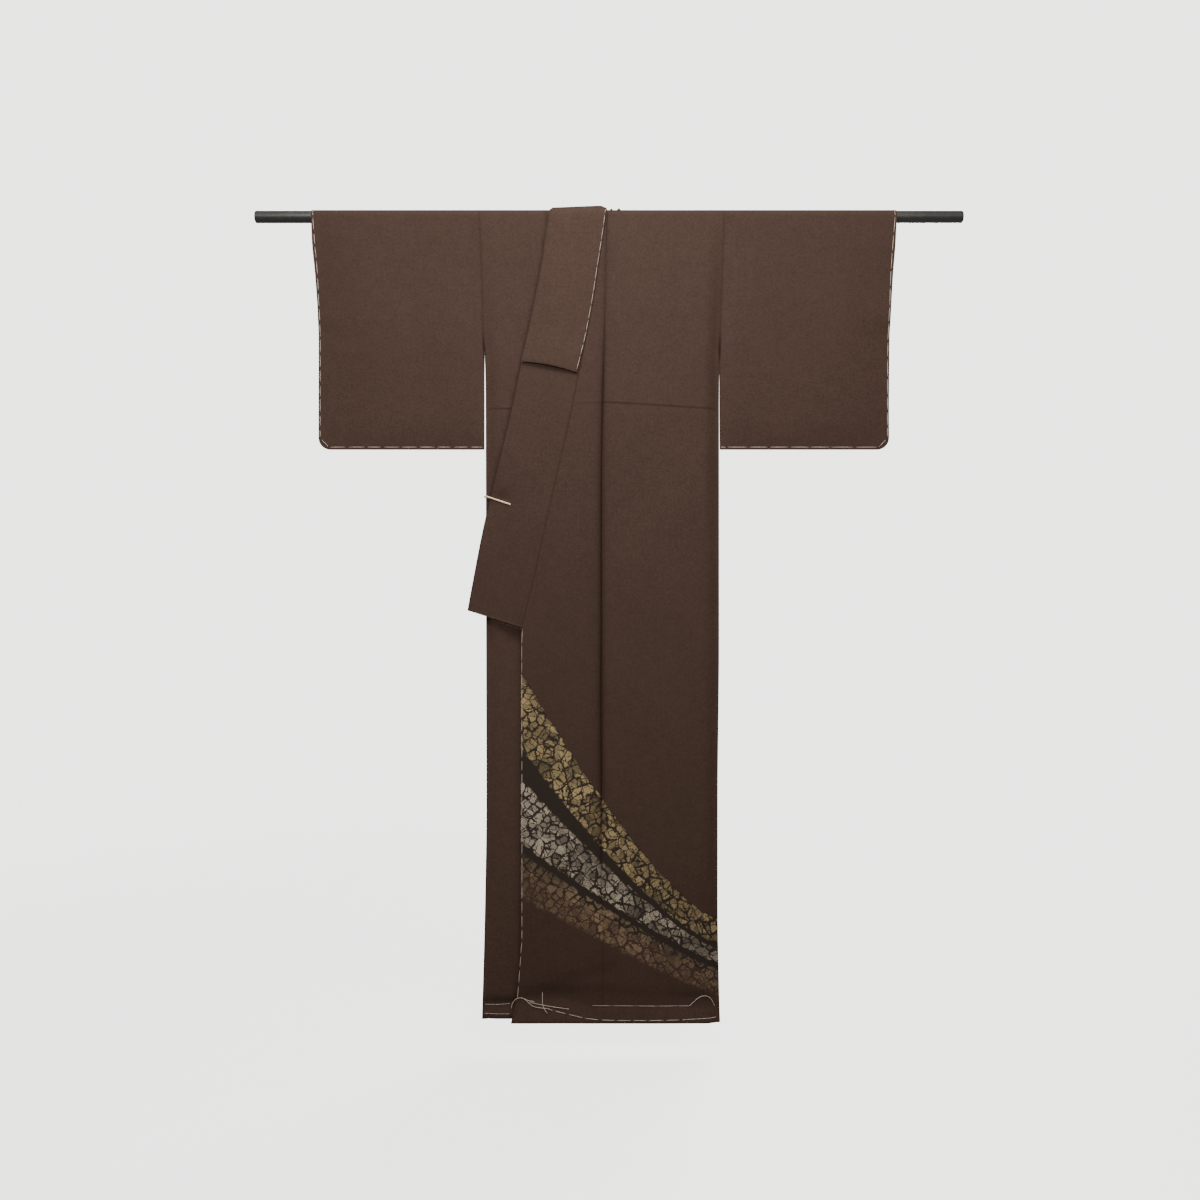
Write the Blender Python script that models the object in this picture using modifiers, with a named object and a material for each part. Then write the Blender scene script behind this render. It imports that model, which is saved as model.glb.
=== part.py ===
# A silk kimono hung by its sleeves on a plain round rod.
# Metres, +Z up. X runs to the viewer's right, Y away from the viewer, and the
# origin is the middle of the rod's axis. Left and right in the names of pieces
# are the wearer's, so the left front is on +X and lies over the right front.
# "drop" is always the distance below the rod's axis.

import bmesh
import bpy
import math

# Rod
ROD_RADIUS = 0.012
ROD_LENGTH = 1.414
ROD_SIDES = 40
ROD_END_BEVEL = 0.0015

# Cloth
WALL = 0.0012
COLLAR_WALL = 0.0020
BAND_WALL = 0.0016
SEAM = 0.0003

# Cut of the garment
BODY_LENGTH = 1.610
BACK_LENGTH = 1.604
UNDER_LENGTH = 1.602
SHOULDER_WIDTH = 0.228
BACK_WIDTH = 0.310
SLEEVE_DROP = 0.464
SLEEVE_CORNER = 0.016
ARMHOLE_DROP = 0.217
NECKLINE_DROP = 0.025
COLLAR_LENGTH = 0.818
COLLAR_SLANT = 0.966
OVER_COLLAR_LENGTH = 0.314
OVER_COLLAR_SLANT = 0.930
BAND_FOLD = 0.0122
BAND_OUTSIDE = 0.036
TAIL_TIP = 0.010

# Places across the rod
ARMHOLE_LEFT = 0.224
ARMHOLE_RIGHT = -0.252
NECK_LEFT = ARMHOLE_LEFT - SHOULDER_WIDTH
NECK_RIGHT = ARMHOLE_RIGHT + SHOULDER_WIDTH
CENTRE_SEAM = ARMHOLE_RIGHT + BACK_WIDTH
PLEAT_FOLD = NECK_LEFT - 0.010
COLLAR_TOP_FREE = -0.114
OVER_COLLAR_TOP_FREE = -0.112

# Middles of the cloth layers, as distances from the rod's axis
ON_ROD = ROD_RADIUS + SEAM + WALL / 2
COLLAR_ON_ROD = 0.0157
OVER_COLLAR_ON_ROD = 0.0189
PLEAT_STEP = 0.0022
TOUCHING = (WALL + SEAM) / 2

# How the layers hang: both walls draw together towards the hem
FRONT_AT_HEM = 0.0095
BACK_AT_HEM = 0.0065
DRAW_IN = 1.2
UNDER_STEP = 0.0050
UNDER_SETTLE = 0.150
SIDE_ZONE = 0.030
TROUGH_DEPTH = 0.0020
TROUGH_HALF = 0.012
TROUGH_SEAM = 1.5 * SEAM

# The over-collar's lower end
END_LIFT = 0.0070
END_ARCH = 0.0040

# Clip that holds the collar to the body's edge
CLIP_RADIUS = 0.0017
CLIP_TIP = (-0.196, 0.576)
CLIP_BEND = (-0.2430, 0.560)
CLIP_OUT = 0.0055
CLIP_SQUEEZE = 0.55
CLIP_REACH = 0.050
CLIP_SPREAD = 0.070

# Tables: a heading row, then one row for each section
SIDES = (
    ("drop", "right", "left", "half_gap"),
    (0.000, ARMHOLE_RIGHT, ARMHOLE_LEFT, ON_ROD),
    (0.050, -0.2520, 0.2240, 0.0095),
    (0.120, -0.2520, 0.2240, 0.0060),
    (0.220, -0.2520, 0.2240, 0.0035),
    (0.300, -0.2500, 0.2225, 0.0018),
    (0.370, -0.2480, 0.2205, TOUCHING),
    (0.600, -0.2440, 0.2180, TOUCHING),
    (1.200, -0.2440, 0.2140, TOUCHING),
    (1.500, -0.2490, 0.2150, TOUCHING),
    (1.610, -0.2530, 0.2210, TOUCHING),
)
OVERLAP_SEAM = (
    ("drop", "x"),
    (0.000, -0.0040),
    (0.246, -0.0090),
    (0.398, -0.0128),
    (0.552, -0.0148),
    (0.820, -0.0148),
    (0.966, -0.0180),
    (1.122, -0.0160),
    (1.336, -0.0120),
    (1.408, -0.0088),
    (1.610, -0.0120),
)
COLLAR_EDGES = (
    ("drop", "seam", "free"),
    (0.000, -0.0092, -0.1220),
    (0.044, -0.0172, -0.1285),
    (0.314, -0.0640, -0.1820),
    (0.452, -0.0920, -0.2130),
    (0.556, -0.1150, -0.2380),
    (0.724, -0.1520, -0.2700),
    (0.818, -0.1740, -0.2870),
)
OVERLAP_FRONT = (
    ("drop", "x"),
    (0.818, -0.1740),
    (0.840, -0.1760),
    (1.446, -0.1760),
    (1.566, -0.1860),
    (1.610, -0.1960),
)
UNDER_EDGES = (
    ("drop", "body", "seam"),
    (0.000, NECK_RIGHT, -0.0195),
    (0.060, -0.0215, -0.0110),
    (0.200, -0.0170, 0.0140),
    (0.452, -0.0160, 0.0600),
    (0.818, -0.0160, 0.1340),
    (1.610, -0.0160, 0.1340),
)
UNDER_COLLAR_FREE = (
    ("drop", "x"),
    (0.000, -0.0068),
    (0.060, -0.0068),
    (0.150, 0.0400),
    (0.300, 0.0820),
    (0.452, 0.1100),
    (0.818, 0.1840),
)
OVER_COLLAR_FREE = (
    ("drop", "x"),
    (0.000, -0.1170),
    (0.150, -0.1440),
    (0.300, -0.1720),
)
SLEEVES = (
    ("drop", "right_cuff", "left_cuff", "inner_gap", "middle_gap", "cuff_gap"),
    (0.000, -0.5880, 0.5720, ON_ROD, ON_ROD, ON_ROD),
    (0.050, -0.5860, 0.5690, 0.0095, 0.0115, 0.0100),
    (0.120, -0.5820, 0.5640, 0.0060, 0.0100, 0.0065),
    (0.200, -0.5790, 0.5590, 0.0038, 0.0090, 0.0050),
    (0.240, -0.5780, 0.5575, 0.0035, 0.0085, TOUCHING),
    (0.400, -0.5780, 0.5560, 0.0030, 0.0060, TOUCHING),
    (0.440, -0.5780, 0.5560, 0.0020, 0.0035, TOUCHING),
    (0.464, -0.5780, 0.5560, TOUCHING, TOUCHING, TOUCHING),
)

# Where the rows and columns of the sheets lie
NEAR_COLLAR = (0.03, 0.06, 0.10, 0.15, 0.22, 0.30, 0.37, 0.45, 0.51, 0.55, 0.58,
               0.65, 0.74, COLLAR_LENGTH)
LOWER_DROPS = (0.84, 0.92, 1.02, 1.14, 1.26, 1.36, 1.446, 1.51, 1.566)
LONG_DROPS = NEAR_COLLAR + LOWER_DROPS
SLEEVE_DROPS = (0.03, 0.06, 0.10, 0.15, 0.22, 0.24, 0.30, 0.36, 0.41, 0.44,
                0.448, 0.456, 0.461)
ACROSS_BODY = (0.0, 0.05, 0.13, 0.30, 0.50, 0.70, 0.86, 0.95, 1.0)
ACROSS_PLEAT = (0.005, 0.032, 0.052)
ACROSS_SLEEVE = (0.0, 0.04, 0.10, 0.28, 0.50, 0.72, 0.90, 0.96, 1.0)
ACROSS_OVERLAP = (0.0, 0.2, 0.45, 0.7, 0.86, 0.93, 1.0)
ACROSS_COLLAR = (0.0, 0.25, 0.5, 0.75, 1.0)
ALONG_OVER_COLLAR = (0.09, 0.2, 0.32, 0.46, 0.6, 0.72, 0.82, 0.9, 0.96, 1.0)
ROD_TURNS = 8
COLLAR_TURNS = 10
FOLD_TURNS = 4
BAND_TURNS = 6

SILK = (0.072, 0.047, 0.036)
SILK_LIGHT = (0.090, 0.058, 0.046)


def blend(start, end, share):
    return start + (end - start) * share


def ease(start, end, value):
    share = min(1.0, max(0.0, (value - start) / (end - start)))
    return share * share * (3.0 - 2.0 * share)


def read(table, name, drop):
    # Smooth reading between the rows of a table, never past a row's value
    column = table[0].index(name)
    places = [row[0] for row in table[1:]]
    values = [row[column] for row in table[1:]]
    if drop <= places[0]:
        return values[0]
    if drop >= places[-1]:
        return values[-1]
    slopes = [(values[k + 1] - values[k]) / (places[k + 1] - places[k])
              for k in range(len(places) - 1)]
    tangents = [slopes[0]]
    for before, after in zip(slopes, slopes[1:]):
        mean = 2 * before * after / (before + after) if before * after > 0 else 0.0
        tangents.append(mean)
    tangents.append(slopes[-1])
    k = max(i for i in range(len(slopes)) if places[i] <= drop)
    span = places[k + 1] - places[k]
    s = (drop - places[k]) / span
    return ((1 + 2 * s) * (1 - s) ** 2 * values[k]
            + s * (1 - s) ** 2 * span * tangents[k]
            + s * s * (3 - 2 * s) * values[k + 1]
            + s * s * (s - 1) * span * tangents[k + 1])


# Depths of the layers. They are distances from the rod's plane: the front ones
# are used as -Y and the back ones as +Y.

def squeeze(x, drop, least, depth):
    # The clip draws the layers at the body's right edge together
    beside = math.exp(-((drop - CLIP_BEND[1]) / CLIP_SPREAD) ** 2)
    inward = math.exp(-(max(0.0, x - ARMHOLE_RIGHT) / CLIP_REACH) ** 2)
    return least + (depth - least) * (1.0 - CLIP_SQUEEZE * beside * inward)


def at_side(depth, drop, from_side):
    # Front and back come together at the side seam
    gap = read(SIDES, "half_gap", drop)
    return blend(gap, depth, ease(0.0, SIDE_ZONE, from_side))


def front_depth(drop):
    return blend(ON_ROD, FRONT_AT_HEM, ease(0.0, DRAW_IN, drop))


def under_depth(drop):
    return front_depth(drop) - UNDER_STEP * ease(0.0, UNDER_SETTLE, drop)


def back_depth(drop):
    return blend(ON_ROD, BACK_AT_HEM, ease(0.0, DRAW_IN, drop))


def collar_depth(x, drop):
    raised = (COLLAR_ON_ROD - ON_ROD) * (1.0 - ease(0.0, UNDER_SETTLE, drop))
    least = 2 * TOUCHING + COLLAR_WALL
    return squeeze(x, drop, least, front_depth(drop) + raised)


def seam_trough(from_seam, drop):
    # Soft trough along the seam between left front and overlap
    return TROUGH_DEPTH * (1.0 - ease(0.0, TROUGH_HALF, from_seam)) * ease(0.10, 0.25, drop)


def left_front(x, drop):
    from_side = read(SIDES, "left", drop) - x
    from_seam = x - read(OVERLAP_SEAM, "x", drop)
    return at_side(front_depth(drop) - seam_trough(from_seam, drop), drop, from_side)


def right_front(x, drop):
    from_side = x - read(SIDES, "right", drop)
    gap = read(SIDES, "half_gap", drop)
    return squeeze(x, drop, gap, at_side(under_depth(drop), drop, from_side))


def left_back(x, drop):
    return at_side(back_depth(drop), drop, read(SIDES, "left", drop) - x)


def right_back(x, drop):
    # The right back steps out over the two pleat layers of the left back
    start = blend(NECK_RIGHT + SEAM, -0.060, ease(NECKLINE_DROP, 0.100, drop))
    step = 2 * PLEAT_STEP * ease(start, PLEAT_FOLD - SEAM, x)
    depth = at_side(back_depth(drop), drop, x - read(SIDES, "right", drop)) + step
    return squeeze(x, drop, read(SIDES, "half_gap", drop), depth)


# Building

def material(name, colour, roughness):
    made = bpy.data.materials.new(name)
    made.use_nodes = True
    shader = made.node_tree.nodes["Principled BSDF"]
    shader.inputs["Base Color"].default_value = (*colour, 1.0)
    shader.inputs["Roughness"].default_value = roughness
    shader.inputs["Metallic"].default_value = 0.0
    return made


def add_object(name, mesh, finish):
    piece = bpy.data.objects.new(name, mesh)
    piece.data.materials.append(finish)
    bpy.data.collections["silk_kimono"].objects.link(piece)
    return piece


def sheet(name, rows, columns, place, wall, finish, cut=None):
    # An open grid, each point set by place(row, column), then given its wall.
    # cut(row, column) says which faces the cloth hasn't got, by the row and
    # column that the face starts at and ends at.
    bm = bmesh.new()
    last_row = len(rows) - 1
    last_column = len(columns) - 1
    bmesh.ops.create_grid(bm, x_segments=last_column, y_segments=last_row, size=0.5)
    row_of = {vert: round((vert.co.y + 0.5) * last_row) for vert in bm.verts}
    column_of = {vert: round((vert.co.x + 0.5) * last_column) for vert in bm.verts}
    if cut:
        gone = [face for face in bm.faces
                if cut(rows[min(row_of[vert] for vert in face.verts)],
                       columns[max(column_of[vert] for vert in face.verts)])]
        bmesh.ops.delete(bm, geom=gone, context="FACES")
    for vert in bm.verts:
        vert.co = place(rows[row_of[vert]], columns[column_of[vert]])
    mesh = bpy.data.meshes.new(name)
    bm.to_mesh(mesh)
    bm.free()
    mesh.shade_smooth()
    piece = add_object(name, mesh, finish)
    shell = piece.modifiers.new("wall", "SOLIDIFY")
    shell.thickness = wall
    shell.offset = 0.0
    shell.use_even_offset = True
    return piece


def over_rod(front_drops, back_drops, turns=ROD_TURNS):
    # Rows of a sheet that hangs over the rod: (angle round the rod, drop),
    # from its front end (angle 0) to its back end (angle pi)
    rows = [(0.0, drop) for drop in sorted(front_drops, reverse=True)]
    rows += [(math.pi * k / turns, 0.0) for k in range(turns + 1)]
    rows += [(math.pi, drop) for drop in sorted(back_drops)]
    return rows


def from_shoulder(drops):
    # Rows of a front that starts at the shoulder line, on top of the rod. A
    # body's front and back are one length of cloth, made as two sheets.
    top = math.pi / 2 - SEAM / ON_ROD
    turns = ROD_TURNS // 2
    rows = [(top * (1.0 - k / turns), 0.0) for k in range(turns + 1)]
    return rows + [(0.0, drop) for drop in sorted(drops)]


def behind(rows):
    return [(math.pi - angle, drop) for angle, drop in rows]


def on_rod(angle, x, radius):
    return (x, -radius * math.cos(angle), radius * math.sin(angle))


def hung(row, x, front, back):
    # A point of a sheet that lies on the rod, from its front and back depths
    angle, drop = row
    if drop == 0.0:
        return on_rod(angle, x, ON_ROD)
    y = -front(x, drop) if is_front(row) else back(x, drop)
    return (x, y, -drop)


def is_front(row):
    return row[0] < math.pi / 2


def make_rod(finish):
    bm = bmesh.new()
    bmesh.ops.create_cone(bm, cap_ends=True, segments=ROD_SIDES, radius1=ROD_RADIUS,
                          radius2=ROD_RADIUS, depth=ROD_LENGTH)
    rims = [edge for edge in bm.edges
            if len({abs(face.normal.z) > 0.5 for face in edge.link_faces}) == 2]
    bmesh.ops.bevel(bm, geom=rims, offset=ROD_END_BEVEL, segments=1, affect="EDGES", profile=0.5)
    mesh = bpy.data.meshes.new("rod")
    bm.to_mesh(mesh)
    bm.free()
    mesh.shade_smooth()
    mesh.set_sharp_from_angle(angle=math.radians(30))
    rod = add_object("rod", mesh, finish)
    rod.rotation_euler = (0.0, math.pi / 2, 0.0)


def make_front_left(finish):
    rows = from_shoulder(LONG_DROPS + (BODY_LENGTH,))

    def place(row, share):
        drop = row[1]
        edge = read(OVERLAP_SEAM, "x", drop) + TROUGH_SEAM / 2
        return hung(row, blend(read(SIDES, "left", drop), edge, share), left_front, None)

    sheet("front_left", rows, ACROSS_BODY, place, WALL, finish)


def make_front_right(finish):
    rows = from_shoulder(LONG_DROPS + (UNDER_LENGTH,))

    def place(row, share):
        drop = row[1]
        edge = read(UNDER_EDGES, "body", drop) - SEAM / 2
        return hung(row, blend(read(SIDES, "right", drop), edge, share), right_front, None)

    sheet("front_right", rows, ACROSS_BODY, place, WALL, finish)


def make_back_left(finish):
    # With the back's pleat, which is folded under the right back
    turn_start = PLEAT_FOLD + PLEAT_STEP / 2
    pleat = [("flat", turn_start)]
    pleat += [("turn", math.pi * k / FOLD_TURNS) for k in range(1, FOLD_TURNS)]
    pleat += [("return", x) for x in (turn_start,) + ACROSS_PLEAT + (CENTRE_SEAM,)]
    columns = [("main", share) for share in ACROSS_BODY] + pleat
    rows = behind(from_shoulder((NECKLINE_DROP,) + LONG_DROPS + (BACK_LENGTH,)))

    def place(row, column):
        kind, value = column
        drop = row[1]
        if kind == "main":
            return hung(row, blend(read(SIDES, "left", drop), NECK_LEFT, value), None, left_back)
        depth = back_depth(drop)
        if kind == "flat":
            return (value, depth, -drop)
        if kind == "return":
            return (value, depth + PLEAT_STEP, -drop)
        x = PLEAT_FOLD + PLEAT_STEP / 2 * (1.0 - math.sin(value))
        return (x, depth + PLEAT_STEP / 2 * (1.0 - math.cos(value)), -drop)

    def cut(row, column):
        return column[0] != "main" and row[1] < NECKLINE_DROP

    sheet("back_left", rows, columns, place, WALL, finish, cut)


def make_back_right(finish):
    columns = [("main", share) for share in ACROSS_BODY]
    columns += [("neck", x) for x in (PLEAT_FOLD - SEAM,) + ACROSS_PLEAT + (CENTRE_SEAM,)]
    rows = behind(from_shoulder((NECKLINE_DROP,) + LONG_DROPS + (BACK_LENGTH,)))

    def place(row, column):
        kind, value = column
        drop = row[1]
        if kind == "main":
            return hung(row, blend(read(SIDES, "right", drop), NECK_RIGHT, value), None, right_back)
        depth = right_back(value, drop)
        if value == CENTRE_SEAM:
            depth = back_depth(drop) + PLEAT_STEP + 2 * TOUCHING
        return (value, depth, -drop)

    def cut(row, column):
        return column[0] == "neck" and row[1] < NECKLINE_DROP

    sheet("back_right", rows, columns, place, WALL, finish, cut)


def make_sleeve(name, side, armhole, finish):
    # A flat bag over the rod, sewn along its bottom and its lower cuff
    rows = over_rod(SLEEVE_DROPS + (SLEEVE_DROP,), SLEEVE_DROPS + (SLEEVE_DROP,))
    outward = 1.0 if side == "left_cuff" else -1.0
    inner = armhole + outward * 1.5 * SEAM

    def place(row, share):
        drop = row[1]
        cuff = read(SLEEVES, side, drop)
        into_corner = drop - (SLEEVE_DROP - SLEEVE_CORNER)
        if into_corner > 0.0:
            inset = SLEEVE_CORNER - math.sqrt(max(0.0, SLEEVE_CORNER ** 2 - into_corner ** 2))
            cuff -= outward * inset
        x = blend(inner, cuff, share)

        def depth(x, drop):
            middle = read(SLEEVES, "middle_gap", drop)
            near_inner = ease(0.0, SIDE_ZONE, abs(x - inner))
            near_cuff = ease(0.0, SIDE_ZONE, abs(cuff - x))
            return (middle
                    - (middle - read(SLEEVES, "inner_gap", drop)) * (1.0 - near_inner)
                    - (middle - read(SLEEVES, "cuff_gap", drop)) * (1.0 - near_cuff))

        return hung(row, x, depth, depth)

    sheet(name, rows, ACROSS_SLEEVE, place, WALL, finish)


def make_overlap_left(finish):
    rows = (0.0,) + LONG_DROPS + (BODY_LENGTH,)

    def place(drop, share):
        if drop <= COLLAR_LENGTH:
            front_edge = read(COLLAR_EDGES, "seam", drop) + SEAM / 2
        else:
            front_edge = read(OVERLAP_FRONT, "x", drop)
        seam = read(OVERLAP_SEAM, "x", drop) - TROUGH_SEAM / 2
        x = blend(front_edge, seam, share)
        depth = collar_depth(x, drop) - seam_trough(seam - x, drop)
        return (x, -depth, -drop)

    sheet("overlap_left", rows, ACROSS_OVERLAP, place, WALL, finish)


def make_overlap_right(finish):
    rows = (0.0,) + LONG_DROPS + (UNDER_LENGTH,)

    def place(drop, share):
        body = read(UNDER_EDGES, "body", drop) + SEAM / 2
        front_edge = read(UNDER_EDGES, "seam", drop) - SEAM / 2
        x = blend(body, front_edge, share)
        return (x, -under_depth(drop), -drop)

    sheet("overlap_right", rows, (0.0, 0.33, 0.67, 1.0), place, WALL, finish)


def make_collar_right(finish):
    # Folded to half its width, over the rod between the two neck points
    rows = over_rod(NEAR_COLLAR, (NECKLINE_DROP - SEAM,))

    def place(row, share):
        angle, drop = row
        across = math.sin(angle / 2) ** 2
        seam = blend(read(UNDER_EDGES, "seam", drop) + SEAM / 2, NECK_RIGHT + SEAM, across)
        free = blend(read(UNDER_COLLAR_FREE, "x", drop), NECK_LEFT - SEAM, across)
        if not is_front(row):
            seam = NECK_RIGHT + SEAM
            free = NECK_LEFT - SEAM
        x = blend(seam, free, share)
        y = -under_depth(drop) if is_front(row) else back_depth(drop)
        return (x, y, -drop) if drop > 0.0 else on_rod(angle, x, ON_ROD)

    sheet("collar_right", rows, (0.0, 0.5, 1.0), place, WALL, finish)


def collar_over_rod(row, share, radius, edges, top_free, tail):
    # A collar band over the rod. Behind, it narrows to the neck point along a
    # slanted edge. edges are its seam and free edge where it leaves the rod.
    angle, drop = row
    seam_on_top = NECK_LEFT - SEAM
    if is_front(row):
        turned = ease(0.0, math.pi / 2, angle)
        seam = blend(edges[0], seam_on_top, turned)
        free = blend(edges[1], top_free, turned)
    else:
        along = (angle - math.pi / 2) * radius + drop
        whole = math.pi / 2 * radius + tail
        seam = seam_on_top
        free = blend(top_free, seam_on_top - TAIL_TIP, along / whole)
    x = blend(seam, free, share)
    return on_rod(angle, x, radius) if drop == 0.0 else (x, radius, -drop)


def make_collar_left(finish):
    tail = NECKLINE_DROP - SEAM
    rows = over_rod(NEAR_COLLAR, (tail / 2, tail), COLLAR_TURNS)
    edges = (read(COLLAR_EDGES, "seam", 0.0) - SEAM / 2, read(COLLAR_EDGES, "free", 0.0))

    def place(row, share):
        seam_drop = row[1]
        if seam_drop == 0.0 or not is_front(row):
            return collar_over_rod(row, share, COLLAR_ON_ROD, edges, COLLAR_TOP_FREE, tail)
        free_drop = seam_drop * COLLAR_SLANT
        drop = blend(seam_drop, free_drop, share)
        x = blend(read(COLLAR_EDGES, "seam", seam_drop) - SEAM / 2,
                  read(COLLAR_EDGES, "free", free_drop), share)
        return (x, -collar_depth(x, drop), -drop)

    sheet("collar_left", rows, ACROSS_COLLAR, place, COLLAR_WALL, finish)


def make_over_collar(finish):
    # Lies on the collar, its lower end lifted in a shallow arch
    clear = (COLLAR_WALL + WALL) / 2 + 2 * SEAM
    loose_on_rod = OVER_COLLAR_ON_ROD - COLLAR_ON_ROD - clear
    rows = over_rod(ALONG_OVER_COLLAR, (BAND_OUTSIDE / 2, BAND_OUTSIDE), COLLAR_TURNS)
    edges = (read(COLLAR_EDGES, "seam", 0.0) - SEAM, read(OVER_COLLAR_FREE, "x", 0.0))

    def place(row, share):
        down = row[1]
        if down == 0.0 or not is_front(row):
            return collar_over_rod(row, share, OVER_COLLAR_ON_ROD, edges,
                                   OVER_COLLAR_TOP_FREE, BAND_OUTSIDE)
        seam_drop = down * OVER_COLLAR_LENGTH
        free_drop = seam_drop * OVER_COLLAR_SLANT
        crown = math.sin(math.pi * share)
        drop = blend(seam_drop, free_drop, share) - END_ARCH * crown * ease(0.7, 1.0, down)
        x = blend(read(COLLAR_EDGES, "seam", seam_drop) - SEAM,
                  read(OVER_COLLAR_FREE, "x", free_drop), share)
        loose = loose_on_rod * (1.0 - ease(0.0, 0.1, drop))
        lifted = END_LIFT * ease(0.72, 1.0, down) * (0.6 + 0.4 * crown)
        return (x, -collar_depth(x, drop) - clear - loose - lifted, -drop)

    sheet("over_collar", rows, ACROSS_COLLAR, place, WALL, finish)


def make_collar_back(finish):
    # The band at the back of the neck: up from the neckline, folded outward
    inner = ON_ROD + 1.5 * PLEAT_STEP
    outer = OVER_COLLAR_ON_ROD + SEAM
    half = (outer - inner) / 2
    rows = [("inner", drop) for drop in (NECKLINE_DROP - SEAM, NECKLINE_DROP / 2, 0.0)]
    rows += [("turn", math.pi * k / BAND_TURNS) for k in range(BAND_TURNS + 1)]
    rows += [("outer", BAND_OUTSIDE * share) for share in (0.0, 0.33, 0.67, 1.0)]
    columns = (NECK_LEFT, 0.012, 0.027, 0.042, CENTRE_SEAM)

    def place(row, x):
        kind, value = row
        if kind == "inner":
            return (x, inner, -value)
        if kind == "outer":
            return (x, outer, -value)
        y = (inner + outer) / 2 - half * math.cos(value)
        return (x, y, BAND_FOLD + half * math.sin(value))

    sheet("collar_back", rows, columns, place, BAND_WALL, finish)


def make_fold_clip(finish):
    # A bent springy slip of wood: one leg on the collar, one behind the back
    bend_x, bend_drop = CLIP_BEND
    tip_x, tip_drop = CLIP_TIP
    leg_steps = 5
    bend_steps = 8
    off_collar = COLLAR_WALL / 2 + SEAM + CLIP_RADIUS
    off_back = WALL / 2 + 3 * SEAM + CLIP_RADIUS
    front = []
    back = []
    for k in range(leg_steps + 1):
        x = blend(bend_x, tip_x, k / leg_steps)
        drop = blend(bend_drop, tip_drop, k / leg_steps)
        front.append((x, -collar_depth(x, drop) - off_collar, -drop))
        back.append((x, right_back(x, drop) + off_back, -drop))
    middle = (front[0][1] + back[0][1]) / 2
    reach = (back[0][1] - front[0][1]) / 2
    bend = []
    for k in range(1, bend_steps):
        angle = math.pi * k / bend_steps
        out = CLIP_OUT * math.sqrt(math.sin(angle))
        bend.append((bend_x - out, middle - reach * math.cos(angle), -bend_drop))
    points = list(reversed(front)) + bend + back
    curve = bpy.data.curves.new("fold_clip", "CURVE")
    curve.dimensions = "3D"
    curve.bevel_depth = CLIP_RADIUS
    curve.bevel_resolution = 2
    curve.use_fill_caps = True
    spline = curve.splines.new("POLY")
    spline.points.add(len(points) - 1)
    for point, place in zip(spline.points, points):
        point.co = (*place, 1.0)
    add_object("fold_clip", curve, finish)


def clear_scene():
    for thing in list(bpy.data.objects):
        bpy.data.objects.remove(thing, do_unlink=True)


def main():
    clear_scene()
    collection = bpy.data.collections.new("silk_kimono")
    bpy.context.scene.collection.children.link(collection)
    silk = material("silk", SILK, 0.62)
    collar_silk = material("collar_silk", SILK_LIGHT, 0.60)
    lacquer = material("dark_lacquer", (0.012, 0.010, 0.009), 0.25)
    bamboo = material("bamboo", (0.62, 0.50, 0.36), 0.50)
    make_rod(lacquer)
    make_front_left(silk)
    make_front_right(silk)
    make_back_left(silk)
    make_back_right(silk)
    make_sleeve("sleeve_left", "left_cuff", ARMHOLE_LEFT, silk)
    make_sleeve("sleeve_right", "right_cuff", ARMHOLE_RIGHT, silk)
    make_overlap_left(silk)
    make_overlap_right(silk)
    make_collar_left(silk)
    make_collar_right(silk)
    make_collar_back(silk)
    make_over_collar(collar_silk)
    make_fold_clip(bamboo)


main()
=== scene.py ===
import math
import random
from functools import lru_cache, partial

import bmesh
import bpy
from mathutils import Matrix, Vector


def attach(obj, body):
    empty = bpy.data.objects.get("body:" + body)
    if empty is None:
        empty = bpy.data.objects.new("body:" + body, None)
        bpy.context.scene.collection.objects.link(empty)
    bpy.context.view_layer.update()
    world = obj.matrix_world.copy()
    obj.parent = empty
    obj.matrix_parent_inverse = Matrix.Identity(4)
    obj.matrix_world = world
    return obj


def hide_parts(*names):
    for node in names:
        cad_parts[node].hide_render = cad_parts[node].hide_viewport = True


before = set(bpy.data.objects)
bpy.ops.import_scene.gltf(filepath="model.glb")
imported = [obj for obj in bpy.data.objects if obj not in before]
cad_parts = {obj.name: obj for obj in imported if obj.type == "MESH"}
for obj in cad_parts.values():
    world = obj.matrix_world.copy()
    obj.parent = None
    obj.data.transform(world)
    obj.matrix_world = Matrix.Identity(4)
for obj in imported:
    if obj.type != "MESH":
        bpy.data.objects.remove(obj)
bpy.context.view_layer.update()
print("frame loaded")

# Metres throughout. X runs along the rod, -Y is the front, and drop is the distance below the rod's axis.
# Left and right are the wearer's, so the left front is on +X.

across = {"armholeRight": -0.252, "neckLeft": -0.004, "neckRight": -0.024, "centreSeam": 0.058, "pleatFold": -0.014}

# How the layers lie: distances of their middles from the rod's axis, and how far down they settle to them
hang = {
    "onRod": 0.0129,
    "collarOnRod": 0.0157,
    "overCollarOnRod": 0.0189,
    "frontAtHem": 0.0095,
    "backAtHem": 0.0065,
    "drawIn": 1.2,
    "underStep": 0.0050,
    "underSettle": 0.150,
    "atClip": 0.0035,
    "sideZone": 0.030,
    "cuffZone": 0.120,
}

seam = {"gap": 0.0003, "dip": 0.0007, "dipReach": 0.0035, "dipEnd": (0.20, 0.34), "sleeveDipEnd": (0.20, 0.24)}

# Where the overlap is sewn to the left front: the front's edge rolls over, and the overlap falls away beside it
trough = {
    "seam": 0.00040,
    "front": {"soft": 0.0004, "reach": 0.010, "roll": 0.0010, "round": 0.0024},
    "overlap": {"soft": 0.0010, "reach": 0.018, "roll": 0.0019, "round": 0.0056},
    "top": (0.12, 0.27, 0.30, 1.0),  # from one drop to another, the share before and the share after
    "bottom": (1.36, 1.50, 1.0, 0.35),
    "closed": (1.560, 1.590),
}

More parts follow.
